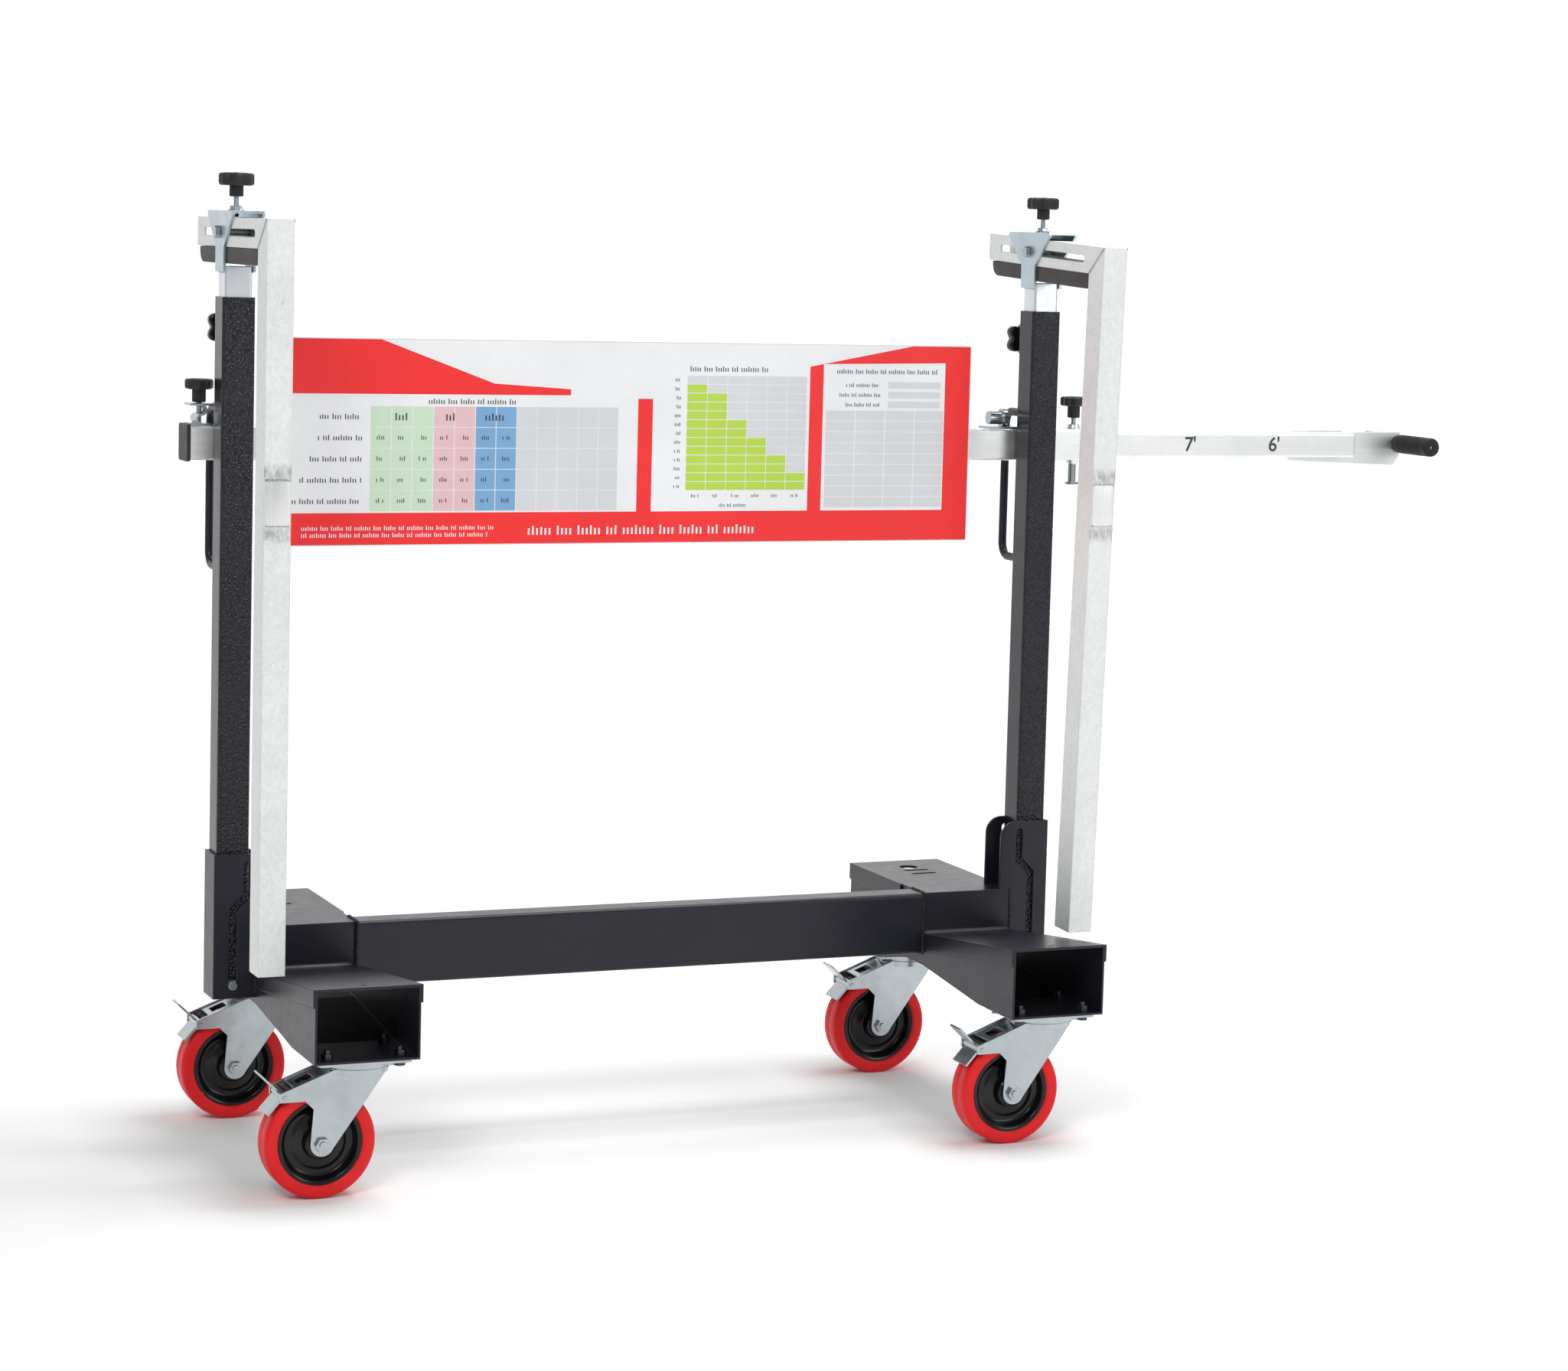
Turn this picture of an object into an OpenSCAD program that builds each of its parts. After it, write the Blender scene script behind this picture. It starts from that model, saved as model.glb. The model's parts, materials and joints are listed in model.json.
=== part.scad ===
/* [Overall] */
// Distance between the outer faces of the two post brackets' inner sides
base_l = 1344; // [1240:1:1440]
// Height of the beam and rear foot tops above the floor
deck_z = 335; // [325:1:350]
// Height of the post tops above the floor
post_top_z = 1253; // [1210:1:1256]
// Height of the clamp arm pins above the floor
pin_z = 1346; // [1343:1:1400]

/* [Castors] */
// Outer diameter of the wheels
wheel_d = 160; // [140:1:166]
// Width of the tyre tread
tyre_w = 46; // [36:1:50]
// Height from the floor to the underside of the feet
castor_h = 200; // [198:1:208]
// Distance from the swivel axis back to the axle
castor_trail = 55; // [45:1:58]
// Distance from the base centre line to the front swivel axes
castor_front_y = 268; // [240:1:272]
// Distance from the base centre line to the rear swivel axes
castor_rear_y = 225; // [210:1:228]
// Diameter of the axle bolts
axle_d = 12; // [10:1:16]
// Outer diameter of the swivel raceway
raceway_d = 97; // [80:1:104]
// Spacing of the castor bolts along the cart
castor_bolt_x = 105; // [102:1:112]
// Spacing of the castor bolts across the cart
castor_bolt_y = 80; // [76:1:86]
// Diameter of the castor bolts
castor_bolt_d = 10; // [8:1:12]

/* [Base] */
// Width of each foot along the cart
foot_w = 152; // [148:1:170]
// Distance from the post line's outer face to the foot
foot_inset = 59; // [56:1:70]
// Reach of the front feet from the base centre line
foot_front = 330; // [326:1:360]
// Reach of the rear feet from the base centre line
foot_rear = 285; // [282:1:320]
// Height of the front ledge at its front edge
ledge_front_z = 307; // [300:1:320]
// Height of the front ledge at the step
ledge_root_z = 270; // [262:1:296]
// Height of the beam section
beam_h = 96; // [80:1:104]
// Depth of the beam section
beam_d = 48; // [40:1:52]
// Wall of the beam
beam_wall = 3; // [2:0.5:5]
// Thickness of the deck plates and post brackets
sheet = 4; // [3:0.5:5]
// Thickness of the foot channels
channel_t = 3; // [2:0.5:4]

/* [Posts] */
// Width of the post section along the cart
post_w = 48; // [46:1:52]
// Depth of the post section
post_d = 49; // [46:1:54]
// Wall of the posts
post_wall = 3.5; // [3:0.1:4]
// Length of the masts that slide in the posts
mast_l = 391; // [340:1:460]
// Wall of the masts
mast_wall = 3; // [2:0.5:4]
// Height of the post brackets
bracket_h = 213; // [205:1:240]
// Width of the bracket flanges above the deck
bracket_w = 78; // [76:1:92]
// Diameter of the post pivot bolts
pivot_d = 10; // [8:1:10.5]
// Travel of the pivot bolts in the straight run of their slots
lift_travel = 100; // [60:1:104]

/* [Clamp arms] */
// Reach of the arms in front of the pin
arm_front = 251; // [235:1:290]
// Reach of the arms behind the pin
arm_rear = 151; // [145:1:190]
// Height of the arm section
arm_h = 42; // [38:1:43]
// Wall of the arms and legs
arm_wall = 3; // [2:0.5:4]
// Depth of the clamp legs
leg_d = 48; // [40:1:56]
// Distance from the arm top to the leg bottom
leg_l = 1061; // [900:1:1066]
// Reach of the arm slot in front of the pin
slot_front = 185; // [150:1:188]
// Reach of the arm slot behind the pin
slot_rear = 111; // [100:1:125]
// Tilt at which the right arm hangs, in degrees
right_tilt = 2.4; // [0:0.1:2.8]
// Height of the rubber pads
pad_h = 24; // [18:1:30]
// Outer diameter of the star knobs on the clamp heads
knob_d = 52; // [44:1:60]

/* [Tube and handle] */
// Size of the square cross tube
tube_s = 50; // [46:1:56]
// Wall of the cross tube
tube_wall = 4; // [3:0.5:4.5]
// Height of the cross tube's centre above the floor
tube_z = 1040; // [1020:1:1060]
// Reach of the cross tube past the left post line
tube_left = 33; // [30:1:60]
// Reach of the cross tube past the right post line
tube_right = 96; // [92:1:140]
// Length of the pull handle's tube
handle_l = 900; // [800:1:1000]
// Length of the pull handle's tube that shows at rest
handle_out = 483; // [440:1:560]
// Length of the handle's cross bar
handle_bar_l = 200; // [160:1:260]
// Outer diameter of the handle grips
grip_d = 31; // [27:1:36]

/* [Sign] */
// Distance from the left post line to the sign board
sign_left = 80; // [60:1:240]
// Distance from the right post line to the sign board
sign_right = 132; // [60:1:240]
// Height of the sign board
sign_h = 307; // [240:1:330]
// Thickness of the sign board
sign_t = 3; // [2:0.5:3.5]

/* [Hidden] */

$fn = 64;
// Overrun of every cut past the faces that it opens
cut = 2;
// Clearance between moving pieces that pass each other
pass_gap = 0.5;
// Radial clearance of a running fit
run_gap = 0.05;
// Clearance under a screw tip
tip_gap = 0.8;

// Colours of the finishes
steel_black = [0.13, 0.13, 0.15];
zinc = [0.80, 0.83, 0.85];
galvanised = [0.76, 0.79, 0.78];
tyre_red = [0.86, 0.11, 0.12];
nylon_black = [0.05, 0.05, 0.06];
rubber_grey = [0.30, 0.29, 0.29];
sign_red = [0.93, 0.18, 0.18];

// Base line positions
post_line = base_l / 2;
post_cx = post_line - pass_gap - post_w / 2;
post_y = sheet + pass_gap;
post_cy = post_y + post_d / 2;
bracket_d = post_d + 2 * pass_gap + 2 * sheet;
foot_out = post_line - foot_inset;
foot_in = foot_out - foot_w;
foot_cx = foot_out - foot_w / 2;
beam_y = -sheet;
beam_r = 6;
foot_root_z = 221;
foot_root_y = 60;
foot_flat_edge = 18;
foot_flat_front = castor_front_y - castor_bolt_y / 2 - foot_flat_edge;
foot_flat_rear = castor_rear_y - castor_bolt_y / 2 - foot_flat_edge;
flange_h = 26;
flange_t = 3;
flange_clear = 24;
deck_hole_d = 30;
deck_slot_l = 34;
deck_slot_w = 9;
ledge_bend = 4;
ledge_hole_d = 10;
ledge_hole_in = 30;
ledge_hole_y = foot_front - ledge_hole_in;

// Bracket outline
bracket_z = 230;
bracket_top_z = bracket_z + bracket_h;
bracket_corner_r = 26;
pivot_up = 20;
pivot_z = bracket_z + pivot_up;
slot_w = pivot_d + 2 * pass_gap;
slot_spare = 10;
slot_run = lift_travel + slot_spare;
slot_shift = 21;
slot_cap = 17;
slot_top_z = bracket_top_z - slot_cap;
slot_low_x = pass_gap + post_w / 2;
slot_high_x = slot_low_x + slot_shift;
slot_bend_z = pivot_z + slot_run;
slot_bend = 45;

// Mast and head
mast_w = post_w - 2 * post_wall - 2 * pass_gap;
mast_d = post_d - 2 * post_wall - 2 * pass_gap;
mast_r = 3;
post_r = 4;
arm_w = mast_w - 2 * pass_gap;
arm_top = pin_z + arm_h / 2;
arm_bottom = pin_z - arm_h / 2;
arm_pin_d = 10;
arm_slot_h = arm_pin_d + 2 * pass_gap;
pad_top = arm_bottom;
pad_bottom = pad_top - pad_h;
pad_clear = 4;
mast_top_z = pad_bottom - pad_clear;
mast_bottom_z = mast_top_z - mast_l;
cheek_t = 4;
cheek_lap = 8;
cheek_bottom_z = mast_top_z - cheek_lap;
cheek_top_half = 74;
cheek_low_half = 24;
head_plate_gap = 6;
head_plate_z = arm_top + head_plate_gap;
head_plate_t = 4;
head_plate_half = 70;
head_nut_h = 7;
head_nut_r = 9;
knob_screw_d = 8;
knob_h = 17;
knob_boss_d = 20;
knob_boss_h = 16;
knob_screw_show = 13;

// Post fittings
mast_knob_down = 46;
mast_knob_z = post_top_z - mast_knob_down;
mast_knob_d = 56;
mast_knob_stand = 14;
mast_knob_h = 17;
mast_nut_h = 6;
grab_bar_d = 13;
grab_drop = 156;
grab_z = tube_z - tube_s / 2 - grab_drop;
grab_rise = 26;
grab_h = grab_drop + tube_s + grab_rise;
grab_stand = 2 * pass_gap + tube_s + grab_bar_d / 2;
grab_shift = 14;
grab_bend_r = 22;

// Cross tube and what it carries
tube_y = post_y + post_d + pass_gap;
tube_cy = tube_y + tube_s / 2;
tube_x0 = -post_line - tube_left;
tube_x1 = post_line + tube_right;
tube_r = 4;
tube_top = tube_z + tube_s / 2;
tube_low = tube_z - tube_s / 2;
cap_wall = 2;
cap_t = 5;
cap_plug_l = 14;
sign_x0 = -post_line + sign_left;
sign_l = base_l - sign_left - sign_right;
sign_z = 1042;
sign_corner_r = 4;
clamp_w = 34;
clamp_h = 32;
clamp_t = 3;
clamp_d = 40;
tube_knob_x = tube_x0 + clamp_w / 2 + 2 * pass_gap;
tube_knob_d = 42;
tube_knob_h = 14;
tube_boss_d = 20;
tube_boss_h = 19;
lock_in = 30;
lock_x = tube_x1 - lock_in;
lock_knob_d = 44;
lock_collar_d = 22;
lock_collar_h = 7;
lock_show = 10;
lock_pin_d = 13;
lock_pin_l = 28;
lock_flange_d = 22;
lock_flange_h = 4;
latch_in = 66;
latch_x = post_line - latch_in;
latch_w = 22;
latch_barrel_d = 21;
latch_lug_d = 29;
latch_lug_t = 8;
latch_sink = 1;
latch_base_l = 52;
latch_base_t = 3;
latch_bolt_r = 7;
latch_bolt_h = 6;

// Pull handle
handle_play = 1;
handle_s = tube_s - 2 * tube_wall - 2 * handle_play;
handle_wall = 3;
handle_x1 = tube_x1 + handle_out;
handle_x0 = handle_x1 - handle_l;
handle_y = tube_cy - handle_s / 2;
plate_t = 4;
plate_lap = 106;
plate_reach = 100;
plate_drop = 16;
plate_chamfer = 12;
bar_d = 22;
bar_x = handle_x1 + plate_reach + bar_d / 2;
grip_gap = 1;
grip_rib_count = 11;
grip_rib_h = 0.8;

// Castor pieces
race_h = 8;
castor_plate_t = 5;
castor_plate_edge = 15;
crown_gap = 1;
crown_t = 8;
crown_less = 5;
crown_d = raceway_d - crown_less;
crown_top = castor_h - castor_plate_t - race_h - crown_gap;
fork_t = 4;
fork_clear = 4;
fork_in = tyre_w / 2 + fork_clear;
fork_half_front = 40;
fork_half_back = 38;
fork_end_r = 17;
king_pin_d = 16;
axle_z = wheel_d / 2;
axle_head_h = 7;
axle_head_r = 11;
hub_d = 46;
hub_play = 1;
hub_l = 2 * fork_in - 2 * hub_play;
hub_chamfer = 2;
tyre_t = 19;
rim_d = wheel_d - 2 * tyre_t;
rim_less = 3;
rim_w = tyre_w - 2 * rim_less;
rim_t = 6;
web_t = 12;
tyre_edge = 7;
brake_reach = 61;
brake_t = 3;
brake_down = 2;
brake_dip = 4;
brake_end_h = 13;
brake_fillet = 12;
brake_open = 8;
brake_z = crown_top - brake_down;
brake_end_x = -castor_trail - brake_reach;
brake_end_z = wheel_d - brake_dip;
brake_low_z = brake_end_z - brake_end_h;
brake_window_l = 22;
brake_window_w = 26;
leg_back = 13;
brake_pin_d = 6;
brake_pin_in = 7;
brake_pin_down = 6;
brake_pin_x = brake_end_x + brake_pin_in;
brake_pin_z = brake_end_z - brake_pin_down;
pedal_play = 1;
pedal_w = 2 * fork_in - 2 * pedal_play;
brake_pin_l = 2 * fork_in + 2 * fork_t + 2 * pedal_play;
pedal_t = 3;
pedal_up = 44;
pedal_up_l = 44;
pedal_up_w = 36;
pedal_down = 48;
pedal_down_w = 46;
pedal_down_l = 34;
pedal_lug_r = 6;
brake_open_x = brake_pin_x + pedal_lug_r + brake_open;
stop_lug_l = 22;
stop_lug_w = 14;
stop_lug_t = 5;

// Fasteners
nut_share = 0.86;
bolt_show_share = 1.4;
lobe_share = 0.15;
core_share = 0.38;
dome_share = 0.7;
dome_h_share = 0.12;
fork_toe_share = 0.7;
pad_corner_share = 0.8;
grip_end_share = 0.125;
fold_share = 0.25;
bolt_head_h = 6;
castor_bolt_l = bolt_head_h + castor_plate_t + channel_t + castor_bolt_d * bolt_show_share;
pivot_head_r = 9;
pivot_head_h = 6;
pin_nut_r = 9;
pin_nut_h = 7;

// Shift that brings the middle of the overall box over the origin
frame_x = -(tube_x0 - cap_t + bar_x + grip_d / 2) / 2;
frame_y = (foot_front - foot_rear) / 2;

// Places of the four castors: front or rear, left or right
front_row = -castor_front_y;
rear_row = castor_rear_y;

// Moves a piece from the base's own centre into the part's frame
module part_frame() {
    translate([frame_x, frame_y, 0])
        children();
}

// Extrudes a Y-Z outline along X
module along_x(length) {
    rotate([90, 0, 90])
        linear_extrude(length)
            children();
}

// Extrudes an X-Z outline along Y, from the origin towards +Y
module along_y(length) {
    translate([0, length, 0])
        rotate([90, 0, 0])
            linear_extrude(length)
                children();
}

// Builds the left side's piece on the asked side, -1 left and 1 right
module at_side(side) {
    if (side < 0)
        children();
    else
        mirror([1, 0, 0])
            children();
}

// Rectangle with rounded corners, centred
module round_rect(size_x, size_y, r) {
    square([size_x - 2 * r, size_y], center = true);
    square([size_x, size_y - 2 * r], center = true);
    for (sx = [-1, 1])
        for (sy = [-1, 1])
            translate([sx * (size_x / 2 - r), sy * (size_y / 2 - r)])
                circle(r);
}

// Outline of a box section, centred
module box_section(size_x, size_y, wall, r) {
    difference() {
        round_rect(size_x, size_y, r);
        round_rect(size_x - 2 * wall, size_y - 2 * wall, max(r - wall, r / 4));
    }
}

// Slot outline between two points, with round ends
module slot_2d(p, q, width) {
    run = norm(q - p);
    for (end = [p, q])
        translate(end)
            circle(width / 2);
    translate(p)
        rotate(atan2(q[1] - p[1], q[0] - p[0]))
            translate([0, -width / 2])
                square([run, width]);
}

// Hexagonal nut or head along Z
module hexagon(r, h) {
    cylinder(r = r, h = h, $fn = 6);
}

// Lobed knob along Z with a boss below and a screw under the boss
module star_knob(d, h, boss_d, boss_h, screw_l, lobes) {
    lobe_r = d * lobe_share;
    lobe_at = d / 2 - lobe_r;
    core_r = d * core_share;
    translate([0, 0, screw_l + boss_h]) {
        linear_extrude(h) {
            circle(core_r);
            for (i = [0:lobes - 1])
                rotate(i * 360 / lobes)
                    slot_2d([0, 0], [lobe_at, 0], 2 * lobe_r);
        }
        translate([0, 0, h])
            cylinder(r1 = core_r, r2 = core_r * dome_share, h = h * dome_h_share);
    }
    translate([0, 0, screw_l])
        cylinder(d = boss_d, h = boss_h);
    cylinder(d = knob_screw_d, h = screw_l);
}

// Base weldment
module main_beam_piece() {
    color(steel_black)
        translate([-foot_in, beam_y + beam_d / 2, deck_z - beam_h / 2])
            along_x(2 * foot_in)
                box_section(beam_d, beam_h, beam_wall, beam_r);
}

// Height of the front ledge's top at a distance in front of the step
function ledge_at(dist) = ledge_root_z + (ledge_front_z - ledge_root_z) * dist / foot_front;

module deck_plate() {
    color(steel_black)
        difference() {
            union() {
                translate([-foot_out, 0, 0])
                    along_x(foot_w)
                        polygon([
                            [foot_rear, deck_z], [0, deck_z], [0, ledge_at(ledge_bend) + ledge_bend],
                            [-ledge_bend, ledge_at(ledge_bend)],
                            [-foot_front, ledge_front_z], [-foot_front, ledge_front_z - sheet],
                            [sheet, ledge_root_z - sheet], [sheet, deck_z - sheet], [foot_rear, deck_z - sheet]
                        ]);
                for (x = [-foot_out - flange_t, -foot_in])
                    translate([x, 0, 0])
                        along_x(flange_t) {
                            polygon([
                                [-foot_front, ledge_front_z], [-flange_clear, ledge_at(flange_clear)],
                                [-flange_clear, ledge_at(flange_clear) - flange_h],
                                [-foot_front, ledge_front_z - flange_h]
                            ]);
                            polygon([
                                [foot_rear, deck_z], [bracket_d + flange_clear, deck_z],
                                [bracket_d + flange_clear, deck_z - flange_h], [foot_rear, deck_z - flange_h]
                            ]);
                        }
            }
            translate([-foot_cx, -ledge_hole_y, ledge_root_z - sheet])
                cylinder(d = ledge_hole_d, h = ledge_front_z);
            translate([-foot_cx, castor_rear_y, deck_z - sheet - cut])
                cylinder(d = deck_hole_d, h = sheet + 2 * cut);
            for (row = [1, 2])
                translate([-foot_cx, castor_rear_y - row * deck_hole_d, deck_z - sheet - cut])
                    linear_extrude(sheet + 2 * cut)
                        slot_2d([-deck_slot_l / 2, 0], [deck_slot_l / 2, 0], deck_slot_w);
        }
}

module left_deck_plate() {
    part_frame()
        at_side(-1)
            deck_plate();
}

module right_deck_plate() {
    part_frame()
        at_side(1)
            deck_plate();
}

module foot_channel() {
    color(steel_black)
        difference() {
            translate([-foot_out, 0, 0])
                along_x(foot_w)
                    polygon([
                        [-foot_front, castor_h], [-foot_flat_front, castor_h], [-sheet, foot_root_z],
                        [foot_root_y, foot_root_z], [foot_flat_rear, castor_h], [foot_rear, castor_h],
                        [foot_rear, deck_z - sheet], [sheet, deck_z - sheet], [sheet, ledge_root_z - sheet],
                        [-foot_front, ledge_front_z - sheet]
                    ]);
            translate([-foot_out + channel_t, 0, channel_t])
                along_x(foot_w - 2 * channel_t)
                    polygon([
                        [-foot_front - cut, castor_h], [-foot_flat_front, castor_h], [-sheet, foot_root_z],
                        [foot_root_y, foot_root_z], [foot_flat_rear, castor_h], [foot_rear + cut, castor_h],
                        [foot_rear + cut, deck_z], [-foot_front - cut, deck_z]
                    ]);
            for (row = [front_row, rear_row])
                castor_bolt_places(-foot_cx, row)
                    translate([0, 0, castor_h - cut])
                        cylinder(d = castor_bolt_d + 2 * pass_gap, h = channel_t + 2 * cut);
        }
}

module left_foot_channel() {
    part_frame()
        at_side(-1)
            foot_channel();
}

module right_foot_channel() {
    part_frame()
        at_side(1)
            foot_channel();
}

// Dog-leg slot in X and Z: straight run, slope, straight run
module bracket_slot() {
    half = slot_w / 2;
    mitre = half * tan(slot_bend / 2);
    high_z = slot_bend_z + slot_shift / tan(slot_bend);
    polygon([
        [slot_low_x - half, pivot_z], [slot_low_x - half, slot_bend_z + mitre],
        [slot_high_x - half, high_z + mitre], [slot_high_x - half, slot_top_z],
        [slot_high_x + half, slot_top_z], [slot_high_x + half, high_z - mitre],
        [slot_low_x + half, slot_bend_z - mitre], [slot_low_x + half, pivot_z]
    ]);
    translate([slot_low_x, pivot_z])
        circle(half);
    translate([slot_high_x, slot_top_z])
        circle(half);
}

// Outline of one bracket flange in X and Z, measured inward from the post line
module flange_outline() {
    difference() {
        union() {
            translate([0, bracket_z])
                square([foot_inset, deck_z - bracket_z]);
            translate([0, deck_z])
                square([bracket_w, bracket_top_z - deck_z - bracket_corner_r]);
            translate([0, deck_z])
                square([bracket_w - bracket_corner_r, bracket_top_z - deck_z]);
            translate([bracket_w - bracket_corner_r, bracket_top_z - bracket_corner_r])
                circle(bracket_corner_r);
        }
        bracket_slot();
    }
}

module post_bracket() {
    color(steel_black) {
        translate([-post_line - sheet, 0, bracket_z])
            cube([sheet, bracket_d, bracket_h]);
        for (y = [0, bracket_d - sheet])
            translate([-post_line, y, 0])
                along_y(sheet)
                    flange_outline();
    }
}

module left_post_bracket() {
    part_frame()
        at_side(-1)
            post_bracket();
}

module right_post_bracket() {
    part_frame()
        at_side(1)
            post_bracket();
}

// Places children at the four bolts of one castor
module castor_bolt_places(x, y) {
    for (sx = [-1, 1])
        for (sy = [-1, 1])
            translate([x + sx * castor_bolt_x / 2, y + sy * castor_bolt_y / 2, 0])
                children();
}

// Places children at all four castors
module each_castor() {
    for (x = [-foot_cx, foot_cx])
        for (y = [front_row, rear_row])
            translate([x, y, 0])
                children();
}

module castor_plates_piece() {
    plate_l = castor_bolt_x + 2 * castor_plate_edge;
    plate_w = castor_bolt_y + 2 * castor_plate_edge;
    color(zinc)
        each_castor()
            difference() {
                union() {
                    translate([0, 0, castor_h - castor_plate_t])
                        linear_extrude(castor_plate_t)
                            round_rect(plate_l, plate_w, castor_plate_edge / 2);
                    translate([0, 0, castor_h - castor_plate_t - race_h])
                        cylinder(d = raceway_d, h = race_h);
                }
                castor_bolt_places(0, 0)
                    translate([0, 0, castor_h - castor_plate_t - cut])
                        cylinder(d = castor_bolt_d + 2 * pass_gap, h = castor_plate_t + 2 * cut);
                translate([0, 0, castor_h - castor_plate_t - race_h - cut])
                    cylinder(d = king_pin_d + 2 * run_gap, h = race_h + cut);
            }
}

module castor_bolts_piece() {
    color(zinc)
        each_castor()
            castor_bolt_places(0, 0) {
                translate([0, 0, castor_h - castor_plate_t - bolt_head_h])
                    hexagon(castor_bolt_d * nut_share, bolt_head_h);
                translate([0, 0, castor_h - castor_plate_t - bolt_head_h])
                    cylinder(d = castor_bolt_d, h = castor_bolt_l);
                translate([0, 0, castor_h + channel_t])
                    hexagon(castor_bolt_d * nut_share, castor_bolt_d * nut_share);
            }
}

// Castor pieces, drawn with the swivel axis on Z and the wheel trailing towards -X
module fork_side() {
    difference() {
        union() {
            polygon([
                [fork_half_front, crown_top], [-fork_half_back, crown_top],
                [brake_end_x, brake_end_z], [brake_end_x, brake_low_z],
                [-castor_trail - leg_back - brake_fillet, brake_low_z],
                [-castor_trail - leg_back, brake_low_z - brake_fillet],
                [-castor_trail - fork_end_r, axle_z],
                [-castor_trail + fork_end_r * fork_toe_share, axle_z - fork_end_r * fork_toe_share]
            ]);
            translate([-castor_trail, axle_z])
                circle(fork_end_r);
        }
        translate([-castor_trail, axle_z])
            circle(axle_d / 2 + run_gap);
        translate([brake_pin_x, brake_pin_z])
            circle(brake_pin_d / 2 + run_gap);
    }
}

module fork() {
    color(zinc) {
        translate([0, 0, crown_top - crown_t])
            cylinder(d = crown_d, h = crown_t);
        translate([0, 0, crown_top])
            cylinder(d = king_pin_d, h = crown_gap + race_h - tip_gap);
        for (y = [-fork_in - fork_t, fork_in])
            translate([0, y, 0])
                along_y(fork_t)
                    fork_side();
        brake_channel();
        stop_lug();
    }
}

// Height of the brake arm's top plate at a distance along the castor
function brake_top(x) = brake_z + (brake_end_z - crown_top) * (x + fork_half_back) / (brake_end_x + fork_half_back);

// Sloped top plate that joins the two sides of the fork over the wheel
module brake_channel() {
    difference() {
        translate([0, -fork_in - fork_t / 2, 0])
            along_y(2 * fork_in + fork_t)
                polygon([
                    [0, brake_z], [-fork_half_back, brake_z], [brake_open_x, brake_top(brake_open_x)],
                    [brake_open_x, brake_top(brake_open_x) - brake_t], [-fork_half_back, brake_z - brake_t],
                    [0, brake_z - brake_t]
                ]);
        translate([brake_open_x + brake_open, -brake_window_w / 2, brake_end_z - cut])
            cube([brake_window_l, brake_window_w, crown_top - brake_end_z + 2 * cut]);
    }
}

// Small fixed lug on the side away from the wheel
module stop_lug() {
    translate([crown_d / 2 - stop_lug_w / 2, -stop_lug_w / 2, crown_top - stop_lug_t])
        cube([stop_lug_l, stop_lug_w, stop_lug_t]);
}

module axle() {
    reach = fork_in + fork_t;
    color(zinc)
        translate([-castor_trail, 0, axle_z])
            rotate([90, 0, 0]) {
                translate([0, 0, -reach - axle_head_h])
                    cylinder(d = axle_d, h = 2 * reach + 2 * axle_head_h + axle_d / 4);
                for (z = [-reach - axle_head_h, reach])
                    translate([0, 0, z])
                        hexagon(axle_head_r, axle_head_h);
            }
}

// Half outline of the wheel centre in radius and width
module wheel_half() {
    polygon([
        [axle_d / 2 + run_gap, 0], [axle_d / 2 + run_gap, hub_l / 2], [hub_d / 2 - hub_chamfer, hub_l / 2],
        [hub_d / 2, hub_l / 2 - hub_chamfer], [hub_d / 2, web_t / 2], [rim_d / 2 - rim_t, web_t / 2],
        [rim_d / 2 - rim_t, rim_w / 2], [rim_d / 2, rim_w / 2], [rim_d / 2, 0]
    ]);
}

module wheel_center() {
    color(nylon_black)
        translate([-castor_trail, 0, axle_z])
            rotate([90, 0, 0]) {
                for (side = [0, 1])
                    mirror([0, 0, side])
                        rotate_extrude()
                            wheel_half();
            }
}

module tyre() {
    color(tyre_red)
        translate([-castor_trail, 0, axle_z])
            rotate([90, 0, 0])
                rotate_extrude($fn = 96)
                    difference() {
                        translate([rim_d / 2, -tyre_w / 2])
                            square([wheel_d / 2 - rim_d / 2, tyre_w]);
                        for (side = [-1, 1])
                            difference() {
                                translate([wheel_d / 2 - tyre_edge, side * (tyre_w - tyre_edge) / 2])
                                    translate([0, -tyre_edge / 2])
                                        square([tyre_edge + cut, tyre_edge]);
                                translate([wheel_d / 2 - tyre_edge, side * (tyre_w / 2 - tyre_edge)])
                                    circle(tyre_edge);
                            }
                    }
}

module pedal() {
    color(zinc)
        translate([brake_pin_x, 0, brake_pin_z]) {
            translate([0, -brake_pin_l / 2, 0])
                along_y(brake_pin_l)
                    circle(brake_pin_d / 2);
            translate([0, -pedal_w / 2, 0])
                along_y(pedal_w)
                    circle(pedal_lug_r);
            rotate([0, pedal_up, 0])
                translate([-pedal_up_l, -pedal_up_w / 2, -pedal_t / 2])
                    cube([pedal_up_l, pedal_up_w, pedal_t]);
            rotate([0, -pedal_down, 0])
                translate([-pedal_down_l, -pedal_down_w / 2, -pedal_t / 2])
                    cube([pedal_down_l, pedal_down_w, pedal_t]);
        }
}

module place_castor(side, row) {
    translate([side * foot_cx, row, 0])
        children();
}

// Post, with the mast free to slide in it
module post() {
    knob_hole_d = knob_screw_d + 2 * run_gap;
    color(steel_black) {
        difference() {
            translate([-post_cx, post_cy, bracket_z + sheet])
                linear_extrude(post_top_z - bracket_z - sheet)
                    box_section(post_w, post_d, post_wall, post_r);
            translate([-post_cx, post_cy, mast_knob_z])
                rotate([-90, 0, 0])
                    cylinder(d = knob_hole_d, h = post_d);
            translate([-post_cx, -cut, pivot_z])
                rotate([-90, 0, 0])
                    cylinder(d = pivot_d, h = bracket_d + 2 * cut);
        }
        difference() {
            translate([-post_cx, post_y + post_d, mast_knob_z])
                rotate([-90, 0, 0])
                    cylinder(d = 2 * knob_boss_d, h = mast_nut_h, $fn = 6);
            translate([-post_cx, post_cy, mast_knob_z])
                rotate([-90, 0, 0])
                    cylinder(d = knob_hole_d, h = post_d);
        }
    }
}

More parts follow.
